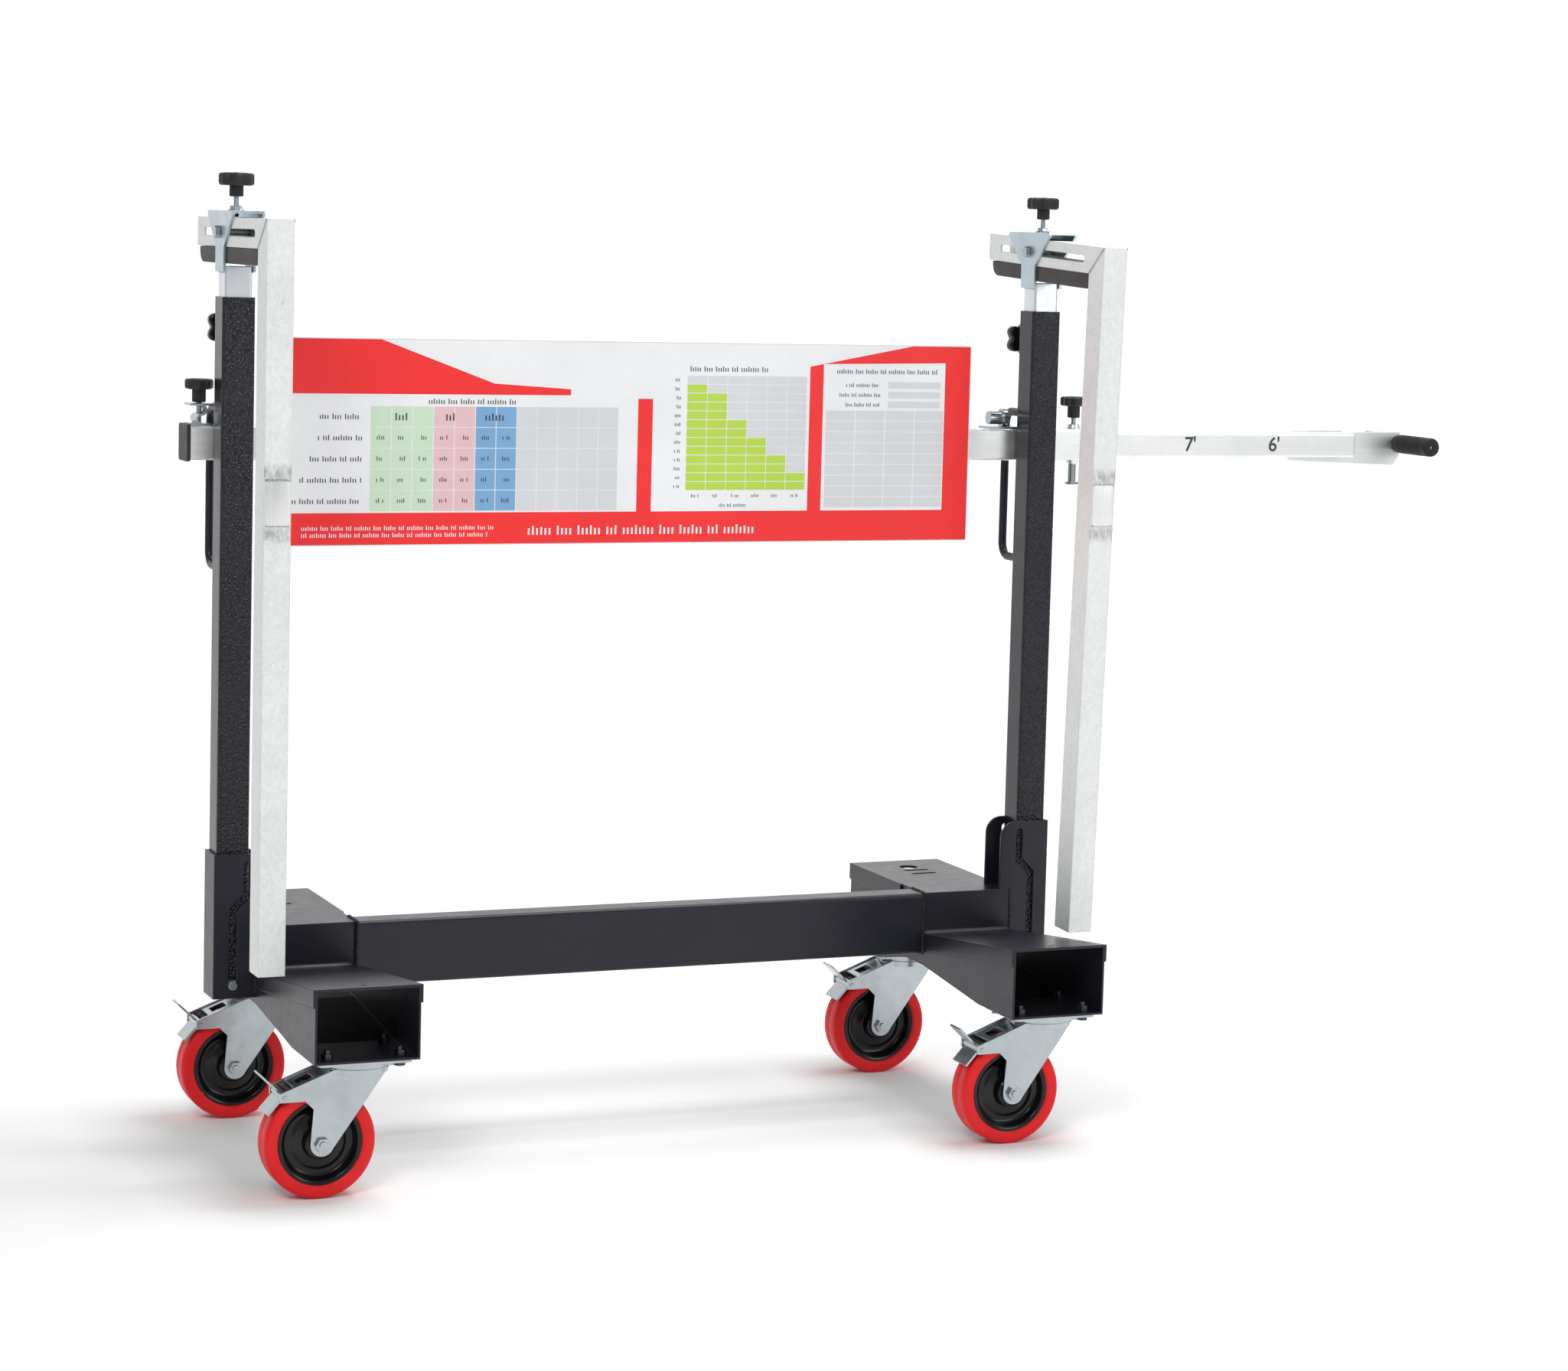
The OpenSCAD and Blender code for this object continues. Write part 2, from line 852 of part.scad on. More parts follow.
module pivot_bolt() {
    color(zinc)
        translate([-post_cx, 0, pivot_z])
            rotate([-90, 0, 0]) {
                translate([0, 0, -pivot_head_h])
                    cylinder(d = pivot_d, h = bracket_d + 2 * pivot_head_h + pivot_d / 4);
                translate([0, 0, -pass_gap - pivot_head_h])
                    cylinder(r1 = pivot_head_r * dome_share, r2 = pivot_head_r, h = pivot_head_h);
                translate([0, 0, bracket_d + pass_gap])
                    hexagon(pivot_head_r, pivot_head_h);
            }
}

// Round bar loop on the back of a post, with the cross tube inside it
module grab_handle(post_x) {
    back = post_y + post_d;
    bar_y = back + grab_stand;
    color(steel_black)
        translate([post_x - grab_shift, 0, 0]) {
            translate([0, bar_y, grab_z + grab_bend_r])
                cylinder(d = grab_bar_d, h = grab_h - 2 * grab_bend_r);
            for (upper = [0, 1])
                translate([0, 0, grab_z + upper * grab_h])
                    mirror([0, 0, upper]) {
                        translate([0, back, 0])
                            rotate([-90, 0, 0])
                                cylinder(d = grab_bar_d, h = grab_stand - grab_bend_r);
                        translate([0, bar_y - grab_bend_r, grab_bend_r])
                            rotate([90, 0, 90])
                                rotate([0, 0, -90])
                                    rotate_extrude(angle = 90)
                                        translate([grab_bend_r, 0])
                                            circle(d = grab_bar_d);
                    }
        }
}

module mast() {
    color(zinc)
        translate([-post_cx, post_cy, mast_bottom_z])
            linear_extrude(mast_l)
                box_section(mast_w, mast_d, mast_wall, mast_r);
}

// Inverted bracket on the mast that carries the arm pin and the clamp screw
module clamp_head() {
    head_w = mast_w + 2 * cheek_t;
    color(zinc)
        translate([-post_cx, post_cy, 0])
            difference() {
                union() {
                    for (x = [-head_w / 2, mast_w / 2])
                        translate([x, 0, 0])
                            along_x(cheek_t)
                                polygon([
                                    [-cheek_low_half, cheek_bottom_z], [cheek_low_half, cheek_bottom_z],
                                    [cheek_low_half, pad_top], [cheek_top_half, head_plate_z],
                                    [-cheek_top_half, head_plate_z], [-cheek_low_half, pad_top]
                                ]);
                    translate([-head_w / 2, -head_plate_half, head_plate_z])
                        cube([head_w, 2 * head_plate_half, head_plate_t]);
                    translate([0, 0, head_plate_z + head_plate_t])
                        hexagon(head_nut_r, head_nut_h);
                }
                translate([0, 0, head_plate_z - cut])
                    cylinder(d = knob_screw_d + 2 * run_gap, h = head_plate_t + head_nut_h + 2 * cut);
                translate([-head_w, 0, pin_z])
                    rotate([0, 90, 0])
                        cylinder(d = arm_pin_d + 2 * run_gap, h = 2 * head_w);
            }
}

module arm_pin() {
    head_w = mast_w + 2 * cheek_t;
    color(zinc)
        translate([-post_cx, post_cy, pin_z])
            rotate([0, 90, 0]) {
                translate([0, 0, -head_w / 2 - pass_gap - pin_nut_h])
                    cylinder(d = arm_pin_d, h = head_w + 2 * pass_gap + 2 * pin_nut_h);
                for (z = [-head_w / 2 - pass_gap - pin_nut_h, head_w / 2 + pass_gap])
                    translate([0, 0, z])
                        hexagon(pin_nut_r, pin_nut_h);
            }
}

// Turns the asked side's arm pieces about the pin by the tilt at which they hang
module hang(side) {
    tilt = side > 0 ? right_tilt : 0;
    at_side(side)
        translate([0, post_cy, pin_z])
            rotate([tilt, 0, 0])
                translate([0, -post_cy, -pin_z])
                    children();
}

// Slotted arm mitred to the hanging clamp leg
module clamp_arm() {
    front_y = post_cy - arm_front;
    rear_y = post_cy + arm_rear;
    leg_bottom = arm_top - leg_l;
    inner_w = arm_w - 2 * arm_wall;
    color(galvanised)
        translate([-post_cx - arm_w / 2, 0, 0])
            difference() {
                along_x(arm_w)
                    polygon([
                        [front_y, leg_bottom], [front_y + leg_d, leg_bottom], [front_y + leg_d, arm_bottom],
                        [rear_y, arm_bottom], [rear_y, arm_top], [front_y, arm_top]
                    ]);
                translate([arm_wall, 0, 0])
                    along_x(inner_w)
                        polygon([
                            [front_y + arm_wall, leg_bottom - cut],
                            [front_y + leg_d - arm_wall, leg_bottom - cut],
                            [front_y + leg_d - arm_wall, arm_bottom + arm_wall],
                            [rear_y + cut, arm_bottom + arm_wall], [rear_y + cut, arm_top - arm_wall],
                            [front_y + arm_wall, arm_top - arm_wall]
                        ]);
                translate([-cut, 0, 0])
                    along_x(arm_w + 2 * cut)
                        slot_2d(
                            [post_cy - slot_front + arm_slot_h / 2, pin_z],
                            [post_cy + slot_rear - arm_slot_h / 2, pin_z],
                            arm_slot_h
                        );
            }
}

// Rubber pad under the arm, with a large round corner at its lower rear end
module pad() {
    front_y = post_cy - arm_front + leg_d + pass_gap;
    rear_y = post_cy + arm_rear - pad_h / 2;
    pad_w = arm_w - 2 * pass_gap;
    corner = pad_h * pad_corner_share;
    color(rubber_grey)
        translate([-post_cx - pad_w / 2, 0, 0])
            along_x(pad_w)
                difference() {
                    translate([front_y, pad_bottom])
                        square([rear_y - front_y, pad_h]);
                    difference() {
                        translate([rear_y - corner, pad_bottom - cut])
                            square([corner + cut, corner + cut]);
                        translate([rear_y - corner, pad_bottom + corner])
                            circle(corner);
                    }
                }
}

module clamp_knob() {
    tip_z = arm_top + tip_gap;
    screw_l = head_plate_z + head_plate_t + head_nut_h + knob_screw_show - tip_z;
    color(nylon_black)
        translate([-post_cx, post_cy, tip_z])
            star_knob(knob_d, knob_h, knob_boss_d, knob_boss_h, screw_l, 6);
}

module mast_knob() {
    tip_y = post_cy + mast_d / 2 + tip_gap;
    screw_l = post_y + post_d + mast_nut_h + mast_knob_stand - tip_y;
    color(nylon_black)
        translate([-post_cx, tip_y, mast_knob_z])
            rotate([-90, 0, 0])
                star_knob(mast_knob_d, mast_knob_h, knob_boss_d, knob_boss_h / 2, screw_l, 5);
}

// Cross tube behind the posts, with the welded collars of the handle lock
module cross_tube_piece() {
    color(zinc)
        translate([0, tube_cy, 0])
            difference() {
                union() {
                    translate([tube_x0, 0, tube_z])
                        along_x(tube_x1 - tube_x0)
                            box_section(tube_s, tube_s, tube_wall, tube_r);
                    translate([lock_x, 0, tube_top])
                        cylinder(d1 = lock_collar_d, d2 = lock_collar_d * nut_share, h = lock_collar_h);
                    translate([lock_x, 0, tube_low - lock_collar_h])
                        cylinder(d1 = lock_collar_d * nut_share, d2 = lock_collar_d, h = lock_collar_h);
                }
                translate([lock_x, 0, tube_z - tube_s])
                    cylinder(d = knob_screw_d + 2 * run_gap, h = 2 * tube_s);
            }
}

module tube_end_cap_piece() {
    plug_s = tube_s - 2 * tube_wall - 2 * run_gap;
    color(nylon_black)
        translate([tube_x0 - cap_t, tube_cy, tube_z]) {
            along_x(cap_t)
                round_rect(tube_s + 2 * cap_wall, tube_s + 2 * cap_wall, tube_r + cap_wall);
            translate([cap_t, 0, 0])
                along_x(cap_plug_l)
                    round_rect(plug_s, plug_s, tube_r / 4);
        }
}

module sign_board_piece() {
    color(sign_red)
        translate([sign_x0 + sign_l / 2, tube_y - sign_t, sign_z])
            along_y(sign_t)
                round_rect(sign_l, sign_h, sign_corner_r);
}

// Folded clip over the tube that takes the clamp knob
module left_tube_clamp_piece() {
    fold_r = clamp_h * fold_share;
    color(zinc)
        translate([tube_knob_x, tube_cy, tube_top])
            difference() {
                union() {
                    translate([-clamp_w / 2, -clamp_d / 2, 0])
                        cube([clamp_w, clamp_d, clamp_t]);
                    translate([-clamp_w / 2, -clamp_d / 2, clamp_h - clamp_t])
                        cube([clamp_w, clamp_d, clamp_t]);
                    for (level = [0, 1])
                        translate([0, -clamp_d / 2, clamp_t / 2 + fold_r + level * (2 * fold_r - clamp_t)])
                            along_y(clamp_d)
                                intersection() {
                                    difference() {
                                        circle(fold_r);
                                        circle(fold_r - clamp_t);
                                    }
                                    translate([level == 0 ? -fold_r : 0, -fold_r])
                                        square([fold_r, 2 * fold_r]);
                                }
                }
                translate([0, 0, -cut])
                    cylinder(d = knob_screw_d + 2 * run_gap, h = clamp_h + 2 * cut);
            }
}

// Hinge lug on the tube beside the right post
module right_tube_latch_piece() {
    barrel_z = tube_top + latch_base_t + latch_lug_d / 2 - latch_sink;
    color(zinc)
        translate([latch_x, tube_cy, 0]) {
            translate([-latch_base_l / 2, -latch_barrel_d, tube_top])
                cube([latch_base_l, 2 * latch_barrel_d, latch_base_t]);
            translate([-latch_base_l / 2 + latch_bolt_h, 0, barrel_z])
                rotate([0, 90, 0])
                    cylinder(d = latch_barrel_d, h = latch_w);
            translate([-latch_base_l / 2 + latch_bolt_h + latch_w, 0, barrel_z])
                rotate([0, 90, 0])
                    cylinder(d = latch_lug_d, h = latch_lug_t);
            translate([-latch_base_l / 2 + latch_bolt_h + latch_w + latch_lug_t, 0, barrel_z])
                rotate([0, 90, 0])
                    hexagon(latch_bolt_r, latch_bolt_h);
        }
}

// Pull plunger of the handle lock, under the tube
module handle_lock_pin_piece() {
    spool_top = tube_low - lock_collar_h - tip_gap;
    tip_z = tube_z - handle_s / 2 - tip_gap;
    color(zinc)
        translate([lock_x, tube_cy, 0]) {
            translate([0, 0, spool_top - lock_pin_l])
                cylinder(d = lock_pin_d, h = lock_pin_l);
            translate([0, 0, spool_top - lock_pin_l - lock_flange_h])
                cylinder(d = lock_flange_d, h = lock_flange_h);
            translate([0, 0, spool_top])
                cylinder(d = knob_screw_d, h = tip_z - spool_top);
        }
}

module left_tube_knob_piece() {
    tip_z = tube_top + tip_gap;
    screw_l = clamp_h + pass_gap;
    color(nylon_black)
        translate([tube_knob_x, tube_cy, tip_z])
            star_knob(tube_knob_d, tube_knob_h, tube_boss_d, tube_boss_h, screw_l, 6);
}

module handle_lock_knob_piece() {
    tip_z = tube_z + handle_s / 2 + tip_gap;
    screw_l = tube_top + lock_collar_h + lock_show - tip_z;
    color(nylon_black)
        translate([lock_x, tube_cy, tip_z])
            star_knob(lock_knob_d, tube_knob_h, tube_boss_d, tube_boss_h, screw_l, 6);
}

// Pull handle
module handle_tube_piece() {
    color(zinc)
        translate([handle_x0, tube_cy, tube_z])
            along_x(handle_l)
                box_section(handle_s, handle_s, handle_wall, tube_r);
}

module handle_bracket_piece() {
    top = tube_z + handle_s / 2;
    low = tube_z - handle_s / 2;
    x0 = handle_x1 - plate_lap;
    x1 = bar_x;
    color(zinc) {
        difference() {
            translate([0, handle_y + handle_s, 0])
                along_y(plate_t)
                    polygon([
                        [x0, top], [x1, top], [x1, low], [x1 - plate_chamfer, low - plate_drop],
                        [x0 + plate_chamfer / 2, low - plate_drop / 2], [x0, low]
                    ]);
            translate([bar_x, 0, tube_z])
                rotate([-90, 0, 0])
                    cylinder(d = bar_d, h = 2 * (handle_y + handle_s));
        }
        translate([bar_x, handle_y + handle_s + plate_t / 2 - handle_bar_l / 2, tube_z])
            rotate([-90, 0, 0])
                cylinder(d = bar_d, h = handle_bar_l);
    }
}

// Ribbed grips on both halves of the cross bar
module handle_grips_piece() {
    mid = handle_y + handle_s + plate_t / 2;
    grip_l = handle_bar_l / 2 - plate_t / 2 - grip_gap;
    end_t = grip_d * grip_end_share;
    color(nylon_black)
        for (side = [0, 1])
            translate([bar_x, mid, tube_z])
                mirror([0, side, 0])
                    rotate([-90, 0, 0])
                        translate([0, 0, plate_t / 2 + grip_gap])
                            difference() {
                                union() {
                                    cylinder(d = grip_d - 2 * grip_rib_h, h = grip_l + end_t);
                                    for (i = [0:grip_rib_count - 1])
                                        translate([0, 0, i * grip_l / grip_rib_count])
                                            cylinder(d = grip_d, h = grip_l / grip_rib_count / 2);
                                    translate([0, 0, grip_l - end_t])
                                        cylinder(d = grip_d, h = 2 * end_t);
                                }
                                translate([0, 0, -cut])
                                    cylinder(d = bar_d, h = grip_l + cut);
                            }
}

// The nodes, each in the part's frame
module main_beam() {
    part_frame()
        main_beam_piece();
}

module castor_plates() {
    part_frame()
        castor_plates_piece();
}

module castor_bolts() {
    part_frame()
        castor_bolts_piece();
}

module front_left_fork() {
    part_frame()
        place_castor(-1, front_row)
            fork();
}

module front_left_axle() {
    part_frame()
        place_castor(-1, front_row)
            axle();
}

module front_left_wheel_center() {
    part_frame()
        place_castor(-1, front_row)
            wheel_center();
}

module front_left_tyre() {
    part_frame()
        place_castor(-1, front_row)
            tyre();
}

module front_left_pedal() {
    part_frame()
        place_castor(-1, front_row)
            pedal();
}

module front_right_fork() {
    part_frame()
        place_castor(1, front_row)
            fork();
}

module front_right_axle() {
    part_frame()
        place_castor(1, front_row)
            axle();
}

module front_right_wheel_center() {
    part_frame()
        place_castor(1, front_row)
            wheel_center();
}

module front_right_tyre() {
    part_frame()
        place_castor(1, front_row)
            tyre();
}

module front_right_pedal() {
    part_frame()
        place_castor(1, front_row)
            pedal();
}

module rear_left_fork() {
    part_frame()
        place_castor(-1, rear_row)
            fork();
}

module rear_left_axle() {
    part_frame()
        place_castor(-1, rear_row)
            axle();
}

module rear_left_wheel_center() {
    part_frame()
        place_castor(-1, rear_row)
            wheel_center();
}

module rear_left_tyre() {
    part_frame()
        place_castor(-1, rear_row)
            tyre();
}

module rear_left_pedal() {
    part_frame()
        place_castor(-1, rear_row)
            pedal();
}

module rear_right_fork() {
    part_frame()
        place_castor(1, rear_row)
            fork();
}

module rear_right_axle() {
    part_frame()
        place_castor(1, rear_row)
            axle();
}

module rear_right_wheel_center() {
    part_frame()
        place_castor(1, rear_row)
            wheel_center();
}

module rear_right_tyre() {
    part_frame()
        place_castor(1, rear_row)
            tyre();
}

module rear_right_pedal() {
    part_frame()
        place_castor(1, rear_row)
            pedal();
}

module left_post() {
    part_frame()
        at_side(-1)
            post();
}

module left_pivot_bolt() {
    part_frame()
        at_side(-1)
            pivot_bolt();
}

module left_grab_handle() {
    part_frame()
        grab_handle(-post_cx);
}

module right_post() {
    part_frame()
        at_side(1)
            post();
}

module right_pivot_bolt() {
    part_frame()
        at_side(1)
            pivot_bolt();
}

module right_grab_handle() {
    part_frame()
        grab_handle(post_cx);
}

module cross_tube() {
    part_frame()
        cross_tube_piece();
}

module tube_end_cap() {
    part_frame()
        tube_end_cap_piece();
}

module sign_board() {
    part_frame()
        sign_board_piece();
}

module left_tube_clamp() {
    part_frame()
        left_tube_clamp_piece();
}

module right_tube_latch() {
    part_frame()
        right_tube_latch_piece();
}

module handle_lock_pin() {
    part_frame()
        handle_lock_pin_piece();
}

module left_mast() {
    part_frame()
        at_side(-1)
            mast();
}

module left_clamp_head() {
    part_frame()
        at_side(-1)
            clamp_head();
}

module left_arm_pin() {
    part_frame()
        hang(-1)
            arm_pin();
}

module left_clamp_arm() {
    part_frame()
        hang(-1)
            clamp_arm();
}

module left_pad() {
    part_frame()
        hang(-1)
            pad();
}

module right_mast() {
    part_frame()
        at_side(1)
            mast();
}

module right_clamp_head() {
    part_frame()
        at_side(1)
            clamp_head();
}

module right_arm_pin() {
    part_frame()
        hang(1)
            arm_pin();
}

module right_clamp_arm() {
    part_frame()
        hang(1)
            clamp_arm();
}

module right_pad() {
    part_frame()
        hang(1)
            pad();
}

module left_clamp_knob() {
    part_frame()
        at_side(-1)
            clamp_knob();
}

module right_clamp_knob() {
    part_frame()
        at_side(1)
            clamp_knob();
}

module left_mast_knob() {
    part_frame()
        at_side(-1)
            mast_knob();
}

module right_mast_knob() {
    part_frame()
        at_side(1)
            mast_knob();
}

module left_tube_knob() {
    part_frame()
        left_tube_knob_piece();
}

module handle_lock_knob() {
    part_frame()
        handle_lock_knob_piece();
}

module handle_tube() {
    part_frame()
        handle_tube_piece();
}

module handle_bracket() {
    part_frame()
        handle_bracket_piece();
}

module handle_grips() {
    part_frame()
        handle_grips_piece();
}

main_beam();
left_deck_plate();
right_deck_plate();
left_foot_channel();
right_foot_channel();
left_post_bracket();
right_post_bracket();
castor_plates();
castor_bolts();
front_left_fork();
front_left_axle();
front_left_wheel_center();
front_left_tyre();
front_left_pedal();
front_right_fork();
front_right_axle();
front_right_wheel_center();
front_right_tyre();
front_right_pedal();
rear_left_fork();
rear_left_axle();
rear_left_wheel_center();
rear_left_tyre();
rear_left_pedal();
rear_right_fork();
rear_right_axle();
rear_right_wheel_center();
rear_right_tyre();
rear_right_pedal();
left_post();
left_pivot_bolt();
left_grab_handle();
right_post();
right_pivot_bolt();
right_grab_handle();
cross_tube();
tube_end_cap();
sign_board();
left_tube_clamp();
right_tube_latch();
handle_lock_pin();
left_mast();
left_clamp_head();
left_arm_pin();
left_clamp_arm();
left_pad();
right_mast();
right_clamp_head();
right_arm_pin();
right_clamp_arm();
right_pad();
left_clamp_knob();
right_clamp_knob();
left_mast_knob();
right_mast_knob();
left_tube_knob();
handle_lock_knob();
handle_tube();
handle_bracket();
handle_grips();
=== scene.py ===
"""Dresses the board cart: finishes, knobs, wheels, pads, grips, welds, sign print and the studio."""

import json
import logging
import math
from dataclasses import dataclass, field
from enum import Enum
from typing import Callable, Iterable, Mapping, Sequence

import bmesh
import bpy
from mathutils import Matrix, Vector


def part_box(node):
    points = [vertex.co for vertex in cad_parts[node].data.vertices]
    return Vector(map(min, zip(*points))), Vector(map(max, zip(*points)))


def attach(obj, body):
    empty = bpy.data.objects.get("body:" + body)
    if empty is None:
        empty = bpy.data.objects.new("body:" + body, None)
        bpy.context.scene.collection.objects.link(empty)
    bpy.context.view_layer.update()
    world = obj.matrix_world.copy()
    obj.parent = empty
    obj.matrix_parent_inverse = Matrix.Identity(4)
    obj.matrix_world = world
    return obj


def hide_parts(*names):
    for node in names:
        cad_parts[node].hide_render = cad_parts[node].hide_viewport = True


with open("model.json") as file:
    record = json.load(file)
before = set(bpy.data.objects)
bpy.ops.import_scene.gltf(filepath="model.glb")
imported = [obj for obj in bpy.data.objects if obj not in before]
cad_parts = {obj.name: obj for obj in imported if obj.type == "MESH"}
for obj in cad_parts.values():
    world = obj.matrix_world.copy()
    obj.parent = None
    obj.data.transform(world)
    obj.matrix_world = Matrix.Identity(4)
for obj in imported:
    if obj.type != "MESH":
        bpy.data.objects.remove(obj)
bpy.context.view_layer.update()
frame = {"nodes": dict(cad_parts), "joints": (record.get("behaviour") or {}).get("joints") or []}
LOG = logging.getLogger("board_cart")
Colour = tuple[float, float, float]
Point2 = tuple[float, float]
Point3 = tuple[float, float, float]
Socket = bpy.types.NodeSocket
Shape = bmesh.types.BMesh
Ring = list[bmesh.types.BMVert]
SIDES = ("left", "right")
CORNERS = ("front_left", "front_right", "rear_left", "rear_right")
ARM_TILT = {"left": 0.0, "right": math.radians(2.4)}
UP, BACK = Vector((0, 0, 1)), Vector((0, 1, 0))
SHARP_ANGLE = math.radians(38)
POLE_RADIUS = 1e-6
EDGE_ANGLES = (0.0, 0.4, 0.8, 1.2, math.pi / 2)
BEAD_SIDES = 8
BEAD_TIP = 0.35
BEAD_SKEW = Vector((0.31, 0.47, 0.83))
RIPPLE_STEPS = 3
RIPPLE = 0.16
WANDER = 0.08
SMALL_STEPS = 24
MITRE_LIMIT = 0.4


class Coat(Enum):
    """Texture of a sprayed coat; the value is its specular level."""

    HAMMER = 0.4
    SATIN = 0.36


class Grain(Enum):
    """Direction of the drawing marks on bare metal, as stretch factors of the texture."""

    ALONG_X = (0.05, 1.0, 1.0)
    ALONG_Z = (1.0, 1.0, 0.05)
    EVEN = (1.0, 1.0, 1.0)


class Tone(Enum):
    """Ink of a printed film; the value is its colour."""

    RED = (0.95, 0.02, 0.022)
    WHITE = (0.9, 0.91, 0.93)
    GREY = (0.7, 0.72, 0.74)
    DARK = (0.05, 0.05, 0.055)
    MINT = (0.62, 0.8, 0.6)
    PINK = (0.83, 0.55, 0.58)
    BLUE = (0.2, 0.42, 0.7)
    LIME = (0.5, 0.72, 0.07)


class Film(Enum):
    """Layer of a printed film, counted from the board."""

    GROUND = 1
    PRINT = 2
    OVERPRINT = 3


class Graph:
    """Builds the node tree of one material around its principled shader."""

    def __init__(self, name: str, edge: float = 0.0) -> None:
        """Starts an empty material.

        Args:
            name: Name of the material.
            edge: Radius of the softened edges in metres, 0 for crisp ones.
        """
        self.material = bpy.data.materials.new(name)
        self.material.use_nodes = True
        self.tree = self.material.node_tree
        self.shader = self.tree.nodes["Principled BSDF"]
        self.place = self.node("ShaderNodeTexCoord").outputs["Object"]
        self.normal: Socket | None = None
        if edge > 0:
            self.normal = self.node("ShaderNodeBevel", {"Radius": edge}, samples=6).outputs["Normal"]
            self.join(self.normal, "Normal")

    def node(self, kind: str, inputs: Mapping[str | int, object] | None = None,
             **settings: object) -> bpy.types.Node:
        """Adds a node.

        Args:
            kind: Type name of the node.
            inputs: Output to link or value to set, for each input.
            settings: Properties of the node.

        Returns:
            The node.
        """
        added = self.tree.nodes.new(kind)
        for name, value in settings.items():
            setattr(added, name, value)
        for key, value in (inputs or {}).items():
            if isinstance(value, Socket):
                self.tree.links.new(value, added.inputs[key])
            else:
                added.inputs[key].default_value = value
        return added

    def put(self, socket: str, value: object) -> None:
        """Sets a plain value on one of the shader's sockets."""
        self.shader.inputs[socket].default_value = value

    def join(self, output: Socket, socket: str) -> None:
        """Links an output to one of the shader's sockets."""
        self.tree.links.new(output, self.shader.inputs[socket])

    def shade(self, socket: str, factor: Socket, *stops: tuple[float, Colour | float]) -> None:
        """Links a factor, mapped to colours or grey levels, to one of the shader's sockets."""
        self.join(self.ramp(factor, *stops), socket)

    def stretched(self, scale: Sequence[float]) -> Socket:
        """Gives the object's own coordinates, scaled along X, Y and Z."""
        return self.node("ShaderNodeMapping", {"Scale": scale, "Vector": self.place}).outputs["Vector"]

    def noise(self, scale: float, detail: float = 4.0, rough: float = 0.55,
              vector: Socket | None = None) -> Socket:
        """Gives noise with so many features per metre, octaves and weight of the finer octaves."""
        inputs = {"Scale": scale, "Detail": detail, "Roughness": rough, "Vector": vector or self.place}
        return self.node("ShaderNodeTexNoise", inputs).outputs["Fac"]

    def ramp(self, factor: Socket, *stops: tuple[float, Colour | float]) -> Socket:
        """Maps a factor to colours or grey levels.

        Args:
            factor: The factor.
            stops: Positions with their colour or grey level.

        Returns:
            The colour output.
        """
        node = self.node("ShaderNodeValToRGB", {"Fac": factor})
        elements = node.color_ramp.elements
        while len(elements) < len(stops):
            elements.new(0.5)
        for element, (position, value) in zip(elements, stops):
            shade = value if isinstance(value, tuple) else (value, value, value)
            element.position = position
            element.color = (*shade, 1.0)
        return node.outputs["Color"]

    def mix(self, factor: Socket | float, first: Socket, second: Socket, blend: str = "MIX") -> Socket:
        """Mixes two colours by the second one's share."""
        inputs = {0: factor, 6: first, 7: second}
        return self.node("ShaderNodeMix", inputs, data_type="RGBA", blend_type=blend).outputs[2]

    def band(self, value: Socket, start: float, end: float) -> Socket:
        """Spreads the values from start to end over 0 to 1."""
        inputs = {"From Min": start, "From Max": end, "Value": value}
        return self.node("ShaderNodeMapRange", inputs).outputs["Result"]

    def normal_y(self) -> Socket:
        """Gives the share of the face's own normal along Y, below 0 at the front."""
        normal = self.node("ShaderNodeNewGeometry").outputs["True Normal"]
        return self.node("ShaderNodeSeparateXYZ", {"Vector": normal}).outputs["Y"]

    def bump(self, height: Socket, strength: float, depth: float) -> None:
        """Adds a layer of bump over the earlier ones.

        Args:
            height: Height field.
            strength: Weight of the layer.
            depth: Height in metres of the full range.
        """
        inputs = {"Strength": strength, "Distance": depth, "Height": height}
        if self.normal is not None:
            inputs["Normal"] = self.normal
        self.normal = self.node("ShaderNodeBump", inputs).outputs["Normal"]
        self.join(self.normal, "Normal")


@dataclass(frozen=True)
class Finish:
    """A surface finish that builds its material once."""

    name: str
    edge: float = field(default=0.0, kw_only=True)

    def dress(self, graph: Graph) -> None:
        """Fills the material's node tree."""
        raise NotImplementedError

    def material(self) -> bpy.types.Material:
        """Gives the finish's material, built at its first use.

        Returns:
            The material.
        """
        found = bpy.data.materials.get("finish_" + self.name)
        if found is None:
            graph = Graph("finish_" + self.name, self.edge)
            self.dress(graph)
            found = graph.material
        return found


@dataclass(frozen=True)
class TwoTone(Finish):
    """A finish that drifts between two tones and two levels of roughness."""

    dark: Colour
    light: Colour
    rough: tuple[float, float]


